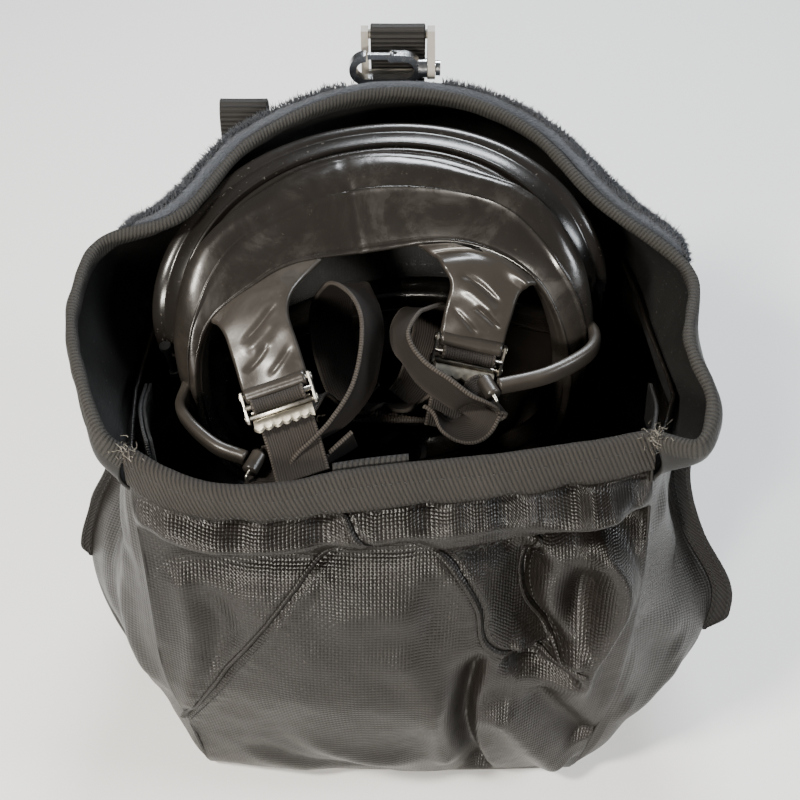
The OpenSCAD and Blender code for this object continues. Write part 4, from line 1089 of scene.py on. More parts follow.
def flat_out(a):
    d = flat_line(a + 2) - flat_line(a - 2)
    return unit(np.stack([d[..., 1], -d[..., 0]], -1))


def rolled(q, r):
    t = q[..., 0] / RAD
    return np.stack([(RAD + r) * np.sin(t), WRAP - RAD + (RAD + r) * np.cos(t) + LEAN * np.maximum(0,
        -q[..., 1] / DROP), q[..., 1]], -1)


def frame_point(a, s, r):
    a = np.asarray(a, float)
    return rolled(flat_line(a) + np.asarray(s)[..., None] * flat_out(a), np.asarray(r, float))


def even_angles(lo, hi, n, s=3.0):
    """Angles spaced evenly along the frame's line."""
    a = np.linspace(lo, hi, 2000)
    p = frame_point(a, np.full(2000, s), np.full(2000, 0.))
    d = np.r_[0, np.cumsum(np.linalg.norm(np.diff(p, axis=0), axis=1))]
    return np.interp(np.linspace(0, d[-1], n), d, a)


def ring_grid(angles, section):
    """Grid of points: rows follow the angles, columns the (s, r) section."""
    sec = np.asarray(section, float)
    a = angles[:, None] + 0 * sec[None, :, 0]
    return frame_point(a, sec[None, :, 0] + 0 * a, sec[None, :, 1] + 0 * a)


def tube_mesh(name, grid, mat, closed_rows=False, closed_cols=True, caps=True, smooth=True, sharp=None):
    n, m = grid.shape[:2]
    f = []
    for i in range(n if closed_rows else n - 1):
        a, b = i * m, ((i + 1) % n) * m
        for j in range(m if closed_cols else m - 1):
            k = (j + 1) % m
            f.append((a + j, a + k, b + k, b + j))
    if caps and not closed_rows:
        f.append(tuple(reversed(range(m))))
        f.append(tuple(range((n - 1) * m, n * m)))
    s = np.r_[0, np.cumsum(np.linalg.norm(np.diff(grid[:, 0], axis=0), axis=1))]
    around = np.r_[0, np.cumsum(np.linalg.norm(np.diff(grid[0], axis=0), axis=1))]
    uv = np.stack([s[:, None] + 0 * around[None], around[None] + 0 * s[:, None]], -1).reshape(-1, 2)
    return make(name, grid.reshape(-1, 3), f, mat, uv, smooth, sharp)


# Lens frame halves: flat flange at the back, a thin outer lip, a groove and a lip over the lens
FRAME_SECTION = [(-1, 11.2), (-.4, 11.8), (2.2, 11.8), (4.6, 11.2), (5.7, 9.9), (6.0, 8.4), (6.0, 5.4), (5.6, 4.9),
    (5.6, 3.6), (6.0, 3.1), (6.0, -2.2),
                 (6.35, -2.6), (6.4, -3.3), (6.1, -3.9), (5.4, -4.1), (1.0, -4.1), (-1, -4.0), (-1, -1.6),
                 (3.4, -1.5), (3.6, -1.2), (3.6, 8.8), (3.4, 9.0), (-1, 9.0)]
frame_objs = []
for nm, lo, hi in (("upper", 1.4, 178.6), ("lower", -178.6, -1.4)):
    g = W(ring_grid(even_angles(lo, hi, 220), FRAME_SECTION))
    o = tube_mesh("lens_frame_" + nm + "_moulding", g, FRAME_MAT, sharp=40)
    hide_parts("lens_frame_" + nm)
    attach(o, "facepiece")
    frame_objs.append(o)

# Lens: wrapped sheet with a slight dome
lu, lv = np.linspace(-.985, .985, 110), np.linspace(-1, 1, 70)
LUU, LVV = np.meshgrid(lu, lv, indexing="ij")
ledge = (1 - np.abs(LUU) ** 2.67) ** .375
lz = ledge * LVV * (np.where(LVV > 0, RISE, DROP) + 2)
lr = 7.1 + 9 * np.maximum(0, (1 - LUU**2) * (1 - (LVV * ledge) ** 2)) ** 1.5
lens_pts = W(rolled(np.stack([LUU * (HALF_U + 2), lz], -1), lr))
lens_o = cloth("lens_sheet", lens_pts, LENS, 2.3, flip=False)
ln_n = grid_normals(lens_pts)[55, 35]
if ln_n[1] < 0:
    bpy.data.objects.remove(lens_o)
    lens_o = cloth("lens_sheet", lens_pts, LENS, 2.3, flip=True)
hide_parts("lens")
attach(lens_o, "facepiece")

# Face blank
SHELL_FRONT = [[0, 42, 62], [64, 20, 54], [88, -4, 34], [93, -16, -3], [88, 4, -54], [64, 40, -96], [0, 60, -128]]
SHELL_BACK = [[0, 24, 58], [54, 12, 52], [80, -16, 33], [88, -30, -3], [82, -18, -58], [54, 22, -124], [0, 46, -156]]
OPENING = [[0, 3, 41], [40, -1, 42], [69, -18, 29], [79, -36, -4], [74, -34, -60], [44, -4, -128], [0, 10, -158]]


def by_angle(line, a):
    """Smooth line round the face blank, by angle in degrees (90 is the forehead)."""
    pts = [(-x, y, z) for x, y, z in line[1:-1]][::-1]
    loop = [line[0]] + line[1:] + [(-x, y, z) for x, y, z in line[1:-1]][::-1]
    c = spline(np.array(loop, float), 0, closed=True, even=False)
    n = len(c)
    pos = ((90 - np.asarray(a, float)) % 360) / 360 * n
    i = np.floor(pos).astype(int) % n
    f = (pos - np.floor(pos))[..., None]
    return c[i] * (1 - f) + c[(i + 1) % n] * f


def opening_at(a):
    """Edge of the opening; the mask lies turned, and its left side is spread a little wider."""
    p = by_angle(OPENING, a)
    return p - np.stack([7 * smooth01((-p[..., 0] - 48) / 20), 0 * p[..., 0], 0 * p[..., 0]], -1)


def inside(p, d):
    v = np.stack([-p[..., 0], 0 * p[..., 0], -45 - p[..., 2]], -1)
    return p + d * unit(v)


fa = np.linspace(-180, 180, 361)[:-1] + .5
SF, SB, OP = by_angle(SHELL_FRONT, fa), by_angle(SHELL_BACK, fa), opening_at(fa)
low = np.maximum(0, -np.sin(np.radians(fa)))[:, None]


def fp(s, r):
    return frame_point(fa, np.full(360, float(s)), np.full(360, float(r)))


def between(a, b, t, bulge=0.0, out=None):
    p = a + (b - a) * t
    return p + (0 if out is None else out * bulge * math.sin(math.pi * t))


rad_out = -unit(np.stack([-SB[:, 0], 0 * SB[:, 0], -45 - SB[:, 2]], -1))
outer_rows = [fp(3.0, -1), fp(-1.2, -1), fp(-1.3, -1.6), fp(-1.3, -4.5), fp(1.5, -5.2), fp(4.2, -5.4), fp(5.6, -6.0),
    fp(6.2, -7.4), fp(5.8, -9.0)]
start = fp(5.0, -9.8)
outer_rows.append(start)
for t in np.linspace(.08, .92, 11):
    outer_rows.append(between(start, SF, t, 1.6, rad_out))
# the mould's parting line stands up as a thin crease where the skirt turns
for k, h in ((0, .0), (.012, .05), (.03, .1)):
    outer_rows.append(SF + (SB - SF) * k + rad_out * h)
for t in np.linspace(.10, .93, 12):
    outer_rows.append(between(SF, SB, t, 2.4, rad_out))
for t, h in ((.965, .25), (.985, .75), (1.0, .95), (1.02, .75), (1.045, .15)):
    outer_rows.append(SF + (SB - SF) * t + rad_out * h)
for t in np.linspace(.12, .86, 8):
    outer_rows.append(between(SB, OP, t, .9, rad_out))
# a thin bead just before the opening's edge
for t, h in ((.90, .0), (.93, .55), (.955, .8), (.98, .55), (1.0, -.1)):
    outer_rows.append(between(SB, OP, t) + rad_out * h)
lip = inside(OP, 6) + [0, 11, 0]
for t in (.12, .3, .5, .72, .9, 1.0):
    c = OP + (lip - OP) * t
    outer_rows.append(c + np.array([0, -1.4, 0]) * math.sin(math.pi * t))
inner_rows = [lip + [0, 2.2, 0], OP + (lip - OP) * .5 + [0, 1.8, 0], inside(OP, 2.8) + [0, 2.6, 0],
    inside(SB, 2.8) - [0, 2, 0] * low, inside((SF + SB) / 2, 2.6) - [0, 2, 0] * low,
              inside(SF, 2.5) - [0, 3, 0] * low, fp(1.6, -8.5), fp(-4.2, -7.0), fp(-4.3, 4.1), fp(3.0, 4.1)]
fb = np.stack(outer_rows + inner_rows, 1)
fbw1, fbw2 = Wave(111, 34), Wave(112, 11)
dirn = np.repeat(rad_out[:, None], fb.shape[1], 1)
mask_rows = np.zeros(fb.shape[1])
mask_rows[10:len(outer_rows) - 6] = 1
fb = fb + dirn * ((.5 * fbw1(fb) + .12 * fbw2(fb)) * mask_rows[None])[..., None]
# parting seam at the middle of the forehead
seam_d = np.exp(-((fa - 93.2) / .55) ** 2)[:, None] * mask_rows[None]
fb = fb + dirn * (-.55 * seam_d)[..., None]
blank_o = tube_mesh("face_blank_rubber", W(fb), RUBBER, closed_rows=True, closed_cols=True, caps=False)
# openings for the housing, diaphragm and exhalation valve are hidden under their own pieces


def end_axes(path, way):
    y = unit(np.array(path[-1], float) - np.array(path[-2], float))
    x = unit(np.array(way, float) - (np.array(way, float) @ y) * y)
    return x, y, np.cross(x, y)


TAB = {-1: [[-56, -2, 42], [-54, -20, 38], [-50, -38, 31], [-47.5, -51, 25]],
    1: [[54, 0, 42], [49, -14, 36], [42, -26, 26], [37, -34, 15]]}
SIDE_TAB = {-1: [[-88, -20, -2], [-92, -38, 4], [-87, -52, 8], [-76, -66, 9], [-64, -73, 8]],
            1: [[88, -18, -2], [92, -30, 3], [86, -43, 8], [67, -55, 13], [45.5, -59, 15]]}
RING_AT = {-1: np.array([-60.5, -75.5, 7.5]), 1: np.array([41.2, -59.2, 15.5])}
RING_WAY = {-1: unit(np.array([5, 8.66, 0])), 1: unit(np.array([-3, 9.54, 0]))}
BAR_WAY = np.array([1, .12, .15])


def tab_grid(sd, nt=90, ns=41):
    """Strap tab: it grows out of the opening's edge with rounded arches on both sides."""
    path = np.array(TAB[sd], float)
    edge = opening_at(np.linspace(0, 180, 721))
    ang = np.linspace(0, 180, 721)
    k = np.argmin(np.abs(edge[:, 0] - path[0, 0]))
    arc = np.r_[0, np.cumsum(np.linalg.norm(np.diff(edge, axis=0), axis=1))]
    flare_in, flare_out = 22.0, 6.0
    s = np.linspace(-1, 1, ns)
    width = 13.5
    # x grows as the angle falls, so s runs against the arc
    lo, hi = (flare_out, flare_in) if sd < 0 else (flare_in, flare_out)
    arc_at = arc[k] - np.where(s < 0, s * (width + lo), s * (width + hi))
    R = np.stack([np.interp(arc_at, arc, edge[:, i]) for i in range(3)], 1)
    c = spline(np.vstack([R[ns // 2], path[1:]]), nt)
    t = np.linspace(0, 1, nt)
    along = unit(np.gradient(c, axis=0))
    sv = BAR_WAY / np.linalg.norm(BAR_WAY)
    side = unit(sv - (along @ sv)[:, None] * along)
    up = np.cross(along, side)
    up *= np.sign(up[:, 2:3])
    flare = np.clip(1 - t / .52, 0, 1)[:, None] ** 2.6
    half = width + np.where(s[None] < 0, lo, hi) * flare
    g = c[:, None] + side[:, None] * (s[None] * half)[..., None]
    corr = R - (c[0] + side[0] * (s * half[0])[:, None])
    g = g + corr[None] * (np.clip(1 - t / .6, 0, 1) ** 1.6)[:, None, None]
    # diagonal creases, and a slight crown
    X, Y = s[None] * width + 0 * t[:, None], t[:, None] * 58 + 0 * s[None]
    rel = .5 * (1 - s[None] ** 2) + 0 * t[:, None]
    for (x0, y0), (x1, y1), h, w in (((-9, 30), (11, 16), -1.1, 1.7), ((-11, 46), (3, 34), -1.0, 1.5),
        ((-2, 52), (12, 38), -.7, 1.4), ((-8, 37), (10, 24), .9, 3.0)):
        if sd > 0:
            x0, x1 = -x0, -x1
        d, q_, a_ = to_path(X, Y, [(x0, y0), ((x0 + x1) / 2 + 1, (y0 + y1) / 2), (x1, y1)])
        rel = rel + h * np.exp(-(d / w) ** 2) * fade(a_, .25, .25)
    rel = rel + .45 * Wave(121 + sd, 17)(g) * smooth01(t / .2)[:, None]
    thick = 2.4
    g_top = g + up[:, None] * (rel + .4)[..., None]
    # the end's wrap round the hinge bar is not made here; a barrel round the bar is joined to the tab below
    x_, y_, z_ = end_axes(TAB[sd], BAR_WAY)
    return g_top, up, thick


tab_objs = []
for sd, nm in ((-1, "left"), (1, "right")):
    g, up, thick = tab_grid(sd)
    top = g
    bot = g - up[:, None] * thick
    # sections with rounded edges: top row, edge points, bottom row reversed
    side_v = unit(np.gradient(g, axis=1))
    el, er = g[:, 0] - side_v[:, 0] * .9 - up * thick / 2, g[:, -1] + side_v[:, -1] * .9 - up * thick / 2
    sec = np.concatenate([top, er[:, None], bot[:, ::-1], el[:, None]], 1)
    o = tube_mesh("temple_tab_" + nm, W(sec), TAB_RUBBER_PAINTED_SHEEN)
    x_, y_, z_ = end_axes(TAB[sd], BAR_WAY)
    e = np.array(TAB[sd][-1], float)
    barrel = np.stack([e + x_ * v for v in np.linspace(-13.4, 13.4, 24)], 0)
    b = sweep("b", W(barrel), oval(3.3, 3.3, 20), TAB_RUBBER_PAINTED_SHEEN, up=D(z_))
    tab_objs.append(join([o, b], "temple_tab_" + nm))

side_tabs = []
for sd, nm in ((-1, "left"), (1, "right")):
    c = spline(np.array(SIDE_TAB[sd], float), 110)
    t = np.linspace(0, 1, 110)
    sc = np.stack([1 + .25 * (1 - smooth01(t / .2)),
        1 + .5 * (1 - smooth01(t / .25)) - .15 * smooth01((t - .5) / .5)], 1)
    o = sweep("side_tab_" + nm, W(c), oval(2.6, 4.6, 22, 3.0), TAB_RUBBER_PAINTED_SHEEN, up=D([0, 0, 1.]), scale=sc)
    at = RING_AT[sd]
    b = sweep("b", W(np.stack([at + RING_WAY[sd] * v for v in np.linspace(-4.6, 4.6, 14)], 0)), oval(3.4, 3.4, 20),
        TAB_RUBBER_PAINTED_SHEEN, up=(0, 0, 1))
    side_tabs.append(join([o, b], "side_tab_" + nm + "_rubber"))
blank = join([blank_o] + tab_objs + side_tabs, "face_blank_rubber")
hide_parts("face_blank")
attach(blank, "facepiece")


# ------------------------------------------------------------------ buckles, cams and rings

def rod(name, a, b, r, mat, n=20, bevel=0.0, seg=2):
    a, b = np.asarray(a, float), np.asarray(b, float)
    L = np.linalg.norm(b - a)
    d = (b - a) / L
    if bevel:
        ts, rs = [0, bevel / L, 1 - bevel / L, 1], [r - bevel, r, r, r - bevel]
    else:
        ts, rs = [0, 1], [r, r]
    path = np.array([a + (b - a) * t for t in ts])
    up = np.array([0, 0, 1.]) if abs(d[2]) < .9 else np.array([1., 0, 0])
    return sweep(name, path, oval(1, 1, n), mat, up=up, scale=np.array(rs))


def plate(name, outline, thick, origin, axes, mat, bevel=.25):
    """A flat plate from a 2-D outline in the first two of three axes, with bevelled edges."""
    ox, oy, oz = axes
    p = np.asarray(outline, float)
    n = len(p)
    area = .5 * np.sum(p[:, 0] * np.roll(p[:, 1], -1) - np.roll(p[:, 0], -1) * p[:, 1])
    if area < 0:
        p = p[::-1]
    t = unit(np.roll(p, -1, 0) - np.roll(p, 1, 0))
    inn = np.stack([-t[:, 1], t[:, 0]], 1) * bevel
    layers = [(p + inn, -thick / 2), (p, -thick / 2 + bevel), (p, thick / 2 - bevel), (p + inn, thick / 2)]
    v = np.vstack([origin + q[:, :1] * ox + q[:, 1:] * oy + z * oz for q, z in layers])
    f = [tuple(reversed(range(n))), tuple(range(3 * n, 4 * n))]
    for l in range(3):
        for j in range(n):
            k = (j + 1) % n
            f.append((l * n + j, l * n + k, (l + 1) * n + k, (l + 1) * n + j))
    return make(name, v, f, mat, smooth=False)


def sharp_smooth(o, angle=35):
    o.data.polygons.foreach_set("use_smooth", [True] * len(o.data.polygons))
    o.data.set_sharp_from_angle(angle=math.radians(angle))
    return o


CAM_Y, ROLL_Y = 9.5, 5.2
for sd, nm in ((-1, "left"), (1, "right")):
    x_, y_, z_ = end_axes(TAB[sd], BAR_WAY)
    e = np.array(TAB[sd][-1], float)

    def P(a, b, c):
        return W(e + x_ * a + y_ * b + z_ * c)
    parts = [rod("r", P(-15.4, 0, 0), P(15.4, 0, 0), 1.2, STEEL, bevel=.3),
        rod("r", P(-15.4, CAM_Y, 0), P(15.4, CAM_Y, 0), 1.2, STEEL, bevel=.3),
             rod("r", P(-15.0, ROLL_Y, -1.6), P(15.0, ROLL_Y, -1.6), 1.15, STEEL, bevel=.3)]
    outline = [(-2.3, -1.4), (-1.6, -2.6), (-.2, -2.8), (3, -2.3), (7, -2.4), (10.6, -2.6), (12, -1.6), (12.3, .4),
        (11.6, 1.9), (10.2, 2.2), (7, 1.4), (3, 1.6), (0, 2.2), (-1.7, 1.7), (-2.4, .4)]
    for s in (-1, 1):
        parts.append(sharp_smooth(plate("p", outline, 1.3, W(e + x_ * s * 14.9), (D(y_), D(z_), D(x_)), STEEL)))
        for yy, rr in ((0, 1.9), (CAM_Y, 1.9)):
            parts.append(rod("r", P(s * 15.5, yy, 0), P(s * 16.1, yy, 0), rr, STEEL, bevel=.25))
    bk = join(parts, "buckle_" + nm + "_steel")
    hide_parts("buckle_" + nm)
    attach(bk, "buckle_" + nm)
    # cam: a rolled sheet round its bar with a scalloped, toothed lip
    n = 61
    xs = np.linspace(-13, 13, n)
    tooth = 1.5 * np.abs(np.sin((xs + 13) / 26 * math.pi * 6.5)) ** .8
    prof = [(-2.2, .6), (-1.9, -1.2), (-.6, -2.1), (1.0, -1.9), (2.1, -.6), (2.2, .6), (3.1, 1.3), (4.6, 1.7)]
    g = []
    for i in range(n):
        row = [e + x_ * xs[i] + y_ * (CAM_Y + a) - z_ * b for a, b in prof]
        row.append(e + x_ * xs[i] + y_ * (CAM_Y + 5.0 + tooth[i]) - z_ * 2.0)
        row.append(e + x_ * xs[i] + y_ * (CAM_Y + 5.6 + tooth[i]) - z_ * 1.5)
        g.append(row)
    cm = cloth("cam_" + nm + "_steel", W(np.array(g)), CAM, .7, flip=False)
    sharp_smooth(cm, 40)
    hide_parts("cam_" + nm)
    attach(cm, "cam_" + nm)
    # wire ring: pin, two splayed sides and a wider bar
    at, way = RING_AT[sd], RING_WAY[sd]
    dn = np.array([0, 0, -1.])
    loop = [at - way * 5.5, at - way * 7.0, at - way * 7.6 + dn * .8, at - way * 8.9 + dn * 7.0,
        at - way * 8.6 + dn * 7.9, at - way * 7.6 + dn * 8.2, at, at]
    pts_ = np.array([at - way * 6.2, at - way * 7.3 + dn * .3, at - way * 7.8 + dn * 1.6, at - way * 8.7 + dn * 6.6,
        at - way * 8.5 + dn * 7.7, at - way * 7.4 + dn * 8.1,
                     at + dn * 8.1, at + way * 7.4 + dn * 8.1, at + way * 8.5 + dn * 7.7, at + way * 8.7 + dn * 6.6,
                     at + way * 7.8 + dn * 1.6, at + way * 7.3 + dn * .3, at + way * 6.2])
    c = spline(pts_, 120)
    rg = join([sweep("r", W(c), oval(.85, .85, 12), STEEL, up=D(unit(np.cross(way, dn)))),
        rod("r", W(at - way * 7.2), W(at + way * 7.2), .85, STEEL)], "ring_" + nm + "_wire")
    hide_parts("wire_ring_" + nm)
    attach(rg, "wire_ring_" + nm)


# ------------------------------------------------------------------ harness straps

def strap(name, path, across, w=23.5, t=1.5, n=260, mat=None):
    """An elastic strap from centre points and width directions; its two edges are thicker and paler."""
    c = spline(np.asarray(path, float), n)
    u0 = spline(np.asarray(path, float), 0, even=False)
    a0 = spline(np.asarray(across, float), 0, even=False)
    ln_ = np.r_[0, np.cumsum(np.linalg.norm(np.diff(u0, axis=0), axis=1))]
    want = np.linspace(0, ln_[-1], n)
    a = unit(np.stack([np.interp(want, ln_, a0[:, k]) for k in range(3)], 1))
    along = unit(np.gradient(c, axis=0))
    side = unit(a - (a * along).sum(1, keepdims=True) * along)
    up = np.cross(side, along)
    x = w / 2
    prof = [(-x, 0), (-x + .35, -.62 * t), (-x + 1.1, -.62 * t), (-x + 1.7, -.46 * t), (-x * .5, -.42 * t),
        (0, -.4 * t), (x * .5, -.42 * t), (x - 1.7, -.46 * t), (x - 1.1, -.62 * t), (x - .35, -.62 * t),
            (x, 0), (x - .35, .62 * t), (x - 1.1, .62 * t), (x - 1.7, .46 * t), (x * .5, .42 * t), (0, .4 * t),
            (-x * .5, .42 * t), (-x + 1.7, .46 * t), (-x + 1.1, .62 * t), (-x + .35, .62 * t)]
    prof = np.array(prof)
    wv = Wave(hash_name(name), 30)
    curl = .5 * wv(c)
    g = c[:, None] + side[:, None] * prof[None, :, :1] + up[:,
        None] * (prof[None, :, 1:] + (curl[:, None] * (prof[None, :, 0] / x) ** 2)[..., None])
    o = tube_mesh(name, g, [ELASTIC, ELASTIC_EDGE])
    me = o.data
    idx = np.zeros(len(me.polygons), np.int32)
    m = len(prof)
    for i in range(n - 1):
        for j in (0, 1, 8, 9, 10, 11, 18, 19):
            idx[i * m + j] = 1
    me.polygons.foreach_set("material_index", idx)
    return o


def hash_name(s):
    return sum(ord(ch) * (i + 3) for i, ch in enumerate(s)) % 997


def roll_path(sd, pts):
    """Points given in a buckle's own axes, in the pouch's frame."""
    x_, y_, z_ = end_axes(TAB[sd], BAR_WAY)
    e = np.array(TAB[sd][-1], float)
    return [W(e + x_ * a + y_ * b + z_ * c) for a, b, c in pts]


ROLLED = [(0, 26, 3.6), (0, 19, 3.4), (0, 13.6, 3.4), (0, 10.2, 3.2), (0, 8.2, 2.0), (0, 7.3, .2), (0, 7.5, -1.8),
    (0, 6.9, -3.2), (0, 5.4, -3.75), (0, 3.7, -3.0), (0, 3.4, -1.2), (0, 4.2, .8), (0, 6.6, 2.9), (0, 9.5, 5.0),
    (0, 13, 5.6)]
STRAPS = {}
XL, YL, ZL = (D(v) for v in end_axes(TAB[-1], BAR_WAY))
XR, YR, ZR = (D(v) for v in end_axes(TAB[1], BAR_WAY))
ul = roll_path(-1, [(0, 40, 1.0)] + ROLLED) + [np.array(q, float) for q in ([-43, -44, 204], [-38, -38, 194],
    [-32, -29, 181], [-26, -18, 170.6], [-22, -8, 163.6], [-18, 2, 155.6])]
ul_a = [XL] * 14 + [XL] * 2 + [np.array(q, float) for q in ([1, .1, .15], [1, .1, .1], [1, 0, .1], [1, 0, 0],
    [1, 0, 0], [1, 0, 0])]
ur = roll_path(1, [(0, 40, 0.0)] + ROLLED) + [np.array(q, float) for q in ([25, -31, 195], [21, -28, 186],
    [15, -24, 177.5], [10, -17, 170], [6, -8, 163.6], [3, 2, 155.6])]
ur_a = [XR] * 14 + [XR] * 2 + [np.array(q, float) for q in ([1, 0, -.2], [1, 0, -.1], [1, 0, 0], [1, 0, 0], [1, 0, 0],
    [1, 0, 0])]
ring_l = W(RING_AT[-1] + [0, 0, -8.1])
ring_r = W(RING_AT[1] + [0, 0, -8.1])
wl, wr = D(RING_WAY[-1]), D(RING_WAY[1])
ll = [[-19.5, -58, 195], [-27, -63, 191.6], [-38, -69, 185], [-46, -72.5, 183.2], ring_l + [9, 1.5, -3.6],
    ring_l + [1.2, 1.0, -2.2], ring_l + [-2.1, 0, -.4], ring_l + [-.6, 0, 2.0], ring_l + [3, 0, 2.6],
      [-48, -69, 189.5], [-38.8, -64, 196.6], [-26, -57, 204.5], [-16.5, -47, 213], [-13, -35, 221],
      [-12.5, -21, 227], [-16, -8, 230.5], [-23, 3, 229], [-30, 10, 216], [-32, 12, 197], [-29, 11, 177],
      [-24, 5, 163.5], [-17, 0, 158.6]]
ll_a = [[.3, .6, -.7], [.35, .7, -.6], [.4, .85, -.3], wl, wl, wl, wl, wl, wl, [.42, .88, -.1], [.4, .8, -.35],
    [.38, .7, -.6], [.38, .65, -.65], [.36, .66, -.68], [.36, .66, -.66],
        [.42, .62, -.62], [.52, .58, -.5], [.62, .5, -.35], [.75, .4, -.2], [.9, .3, 0], [1, .1, 0], [1, 0, 0]]
lr = [[14, -46, 200], [22, -53, 199], [31, -55.5, 201], ring_r + [-2.6, -1.4, -2.6], ring_r + [1.9, .6, -.6],
    ring_r + [.8, .3, 1.9], ring_r + [-2, -1, 3.4], [28, -54, 212.5], [19, -50.5, 216.5], [8.5, -43, 220.5],
    [1.5, -32, 225.5], [3, -20, 227.5],
      [9, -9, 225], [15, 1, 215], [17, 8, 199], [14, 10, 180], [9, 5.4, 163.7], [3, -1, 158.8]]
lr_a = [[-.3, .8, -.4], [-.35, .85, -.3], [-.38, .9, -.1], wr, wr, wr, wr, [-.2, .5, -.8], [-.12, .32, -.92],
    [-.15, .4, -.88], [-.25, .6, -.74], [-.4, .58, -.68], [-.7, .4, -.5], [-.9, .3, -.2], [-.95, .1, 0], [-1, 0, 0],
    [-1, 0, 0], [-1, 0, 0]]
for nm, path, across in (("upper_left", ul, ul_a), ("upper_right", ur, ur_a), ("lower_left", ll, ll_a),
    ("lower_right", lr, lr_a)):
    o = strap("strap_" + nm + "_elastic", path, across, 23.5 if "upper" in nm else 22.5, 1.5, 320)
    STRAPS[nm] = (o, np.array(path, float))
    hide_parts("strap_" + nm)


# ------------------------------------------------------------------ head pad

def pad_surface():
    nu, nv = 60, 52
    u, v = np.meshgrid(np.linspace(-1, 1, nu), np.linspace(-1, 1, nv), indexing="ij")
    e = (1 - np.abs(u) ** 5) ** .2
    e2 = (1 - np.abs(v) ** 5) ** .2
    x, y = u * 29.5 * (.9 + .1 * e2), v * 24.5 * (.9 + .1 * e)
    fill = np.clip((1 - u**4) * (1 - v**4), 0, 1)
    quilt = .55 + .45 * (np.abs(np.sin((x + y) / 13 * math.pi)) * np.abs(np.sin((x - y) / 13 * math.pi))) ** .45
    h = 2.6 * fill ** .4 * quilt + .3 * Wave(131, 12)(np.stack([x, y, 0 * x], -1))
    rot = turn("x", -40)
    top = np.stack([x, y, -4.5 + h], -1) @ rot.T + [-8, -4, 160]
    bottom = np.stack([x, y, -4.6 - h * .7], -1) @ rot.T + [-8, -4, 160]
    return top, bottom


pt, pb = pad_surface()
nu, nv = pt.shape[:2]
f = []
o_ = nu * nv
for i in range(nu - 1):
    for j in range(nv - 1):
        a = i * nv + j
        f += [(a, a + nv, a + nv + 1, a + 1), (o_ + a, o_ + a + 1, o_ + a + nv + 1, o_ + a + nv)]
    for j, s in ((0, 1), (nv - 1, -1)):
        a = i * nv + j
        f.append((a, o_ + a, o_ + a + nv, a + nv)[::s])
for j in range(nv - 1):
    for i, s in ((0, -1), (nu - 1, 1)):
        a = i * nv + j
        f.append((a, o_ + a, o_ + a + 1, a + 1)[::s])
uvp = np.vstack([np.stack(np.meshgrid(np.linspace(0, 59, nu), np.linspace(0, 49, nv), indexing="ij"), -1).reshape(-1,
    2)] * 2)
PAD = woven_tape("pad_ribbed", (0.075, 0.060, 0.047), 0.0016, 0, 0.0, 0.0004, 0.75)
pad = make("head_pad_quilted", np.vstack([pt.reshape(-1, 3), pb.reshape(-1, 3)]), f, PAD, uvp)
edge_line = np.concatenate([pt[:, 0], pt[-1, 1:], pt[-2::-1, -1], pt[0, -2:0:-1]])
edge_low = np.concatenate([pb[:, 0], pb[-1, 1:], pb[-2::-1, -1], pb[0, -2:0:-1]])
pipe = sweep("pipe", (edge_line + edge_low) / 2, oval(1.3, 1.3, 10), ELASTIC_EDGE,
    up=turn("x", -40) @ np.array([0, 0, 1.]), closed=True)
pad_st = stitches("ps", np.vstack([spline(pt[[6, 30, 53], 5], 40), spline(pt[[53, 30, 6], 46], 40)]),
    turn("x", -40) @ np.array([0, 0, 1.]), THREAD, 2.6, 1.8)
pad = join([pad, pipe, pad_st], "head_pad_quilted")
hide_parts("head_pad")


# ------------------------------------------------------------------ inside of the facepiece

HOUSE = np.array([0., 66, -106])


def cup_row(a, r):
    y = 2.2 - (35 + r) * np.sin(a)
    z = -13.5
    f_ = HOUSE + np.stack([(22 + r) * np.cos(a), -.2588 * y + .9659 * z, -.9659 * y - .2588 * z], -1)
    e_ = np.stack([(32 + r) * np.cos(a), 22 - 12 * np.cos(a) ** 2 - 6 * np.sin(a), -85 + (40 + r) * np.sin(a)], -1)
    m_ = (f_ + e_) / 2 + np.stack([4 * np.cos(a), 0 * a, 5 * np.sin(a)], -1)
    l_ = e_ + np.stack([-7 * np.cos(a), 2 + 0 * a, -7 * np.sin(a)], -1)
    return f_, m_, e_, l_


ca = np.linspace(0, 2 * math.pi, 97)[:-1]
f_, m_, e_, l_ = cup_row(ca, 1.4)
rows = [f_]
for t in np.linspace(.1, .9, 9):
    rows.append((1 - t) ** 2 * f_ + 2 * t * (1 - t) * (m_ * 2 - (f_ + e_) / 2) + t * t * e_)
rows += [e_ - (e_ - m_) * .03, e_, e_ + (l_ - e_) * .15 + [0, -.8, 0], e_ + (l_ - e_) * .5 + [0, -.6, 0], l_,
    l_ + [0, 1.5, 0], e_ + (l_ - e_) * .5 + [0, 1.2, 0]]
f2, m2, e2, l2 = cup_row(ca, -.2)
rows += [e2 + [0, 1.6, 0], m2, f2]
cup_g = np.stack(rows, 1)
cup_g = cup_g + unit(np.stack([np.cos(ca), 0 * ca, np.sin(ca)], 1))[:, None] * (.35 * Wave(141, 16)(cup_g))[..., None]
cup = tube_mesh("nose_cup_rubber", W(cup_g), NOSE, closed_rows=True, closed_cols=True, caps=False)
seats = []
for s in (-1, 1):
    R_ = turn("y", s * 74)
    c0 = np.array([s * 25, 34, -78.])

    def N(x, y, z):
        return W(c0 + R_ @ np.array([x, y, z], float))
    seats.append(sweep("n", np.array([N(0, 0, -1.5), N(0, 0, 0), N(0, 0, 3.4), N(0, 0, 4.4)]), oval(9, 9, 40), NOSE,
        up=D(R_ @ np.array([0, 1., 0])), scale=np.array([1, 1, 1, .94]), sharp=40))
cup = join([cup] + seats, "nose_cup_rubber")
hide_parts("nose_cup")
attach(cup, "facepiece")

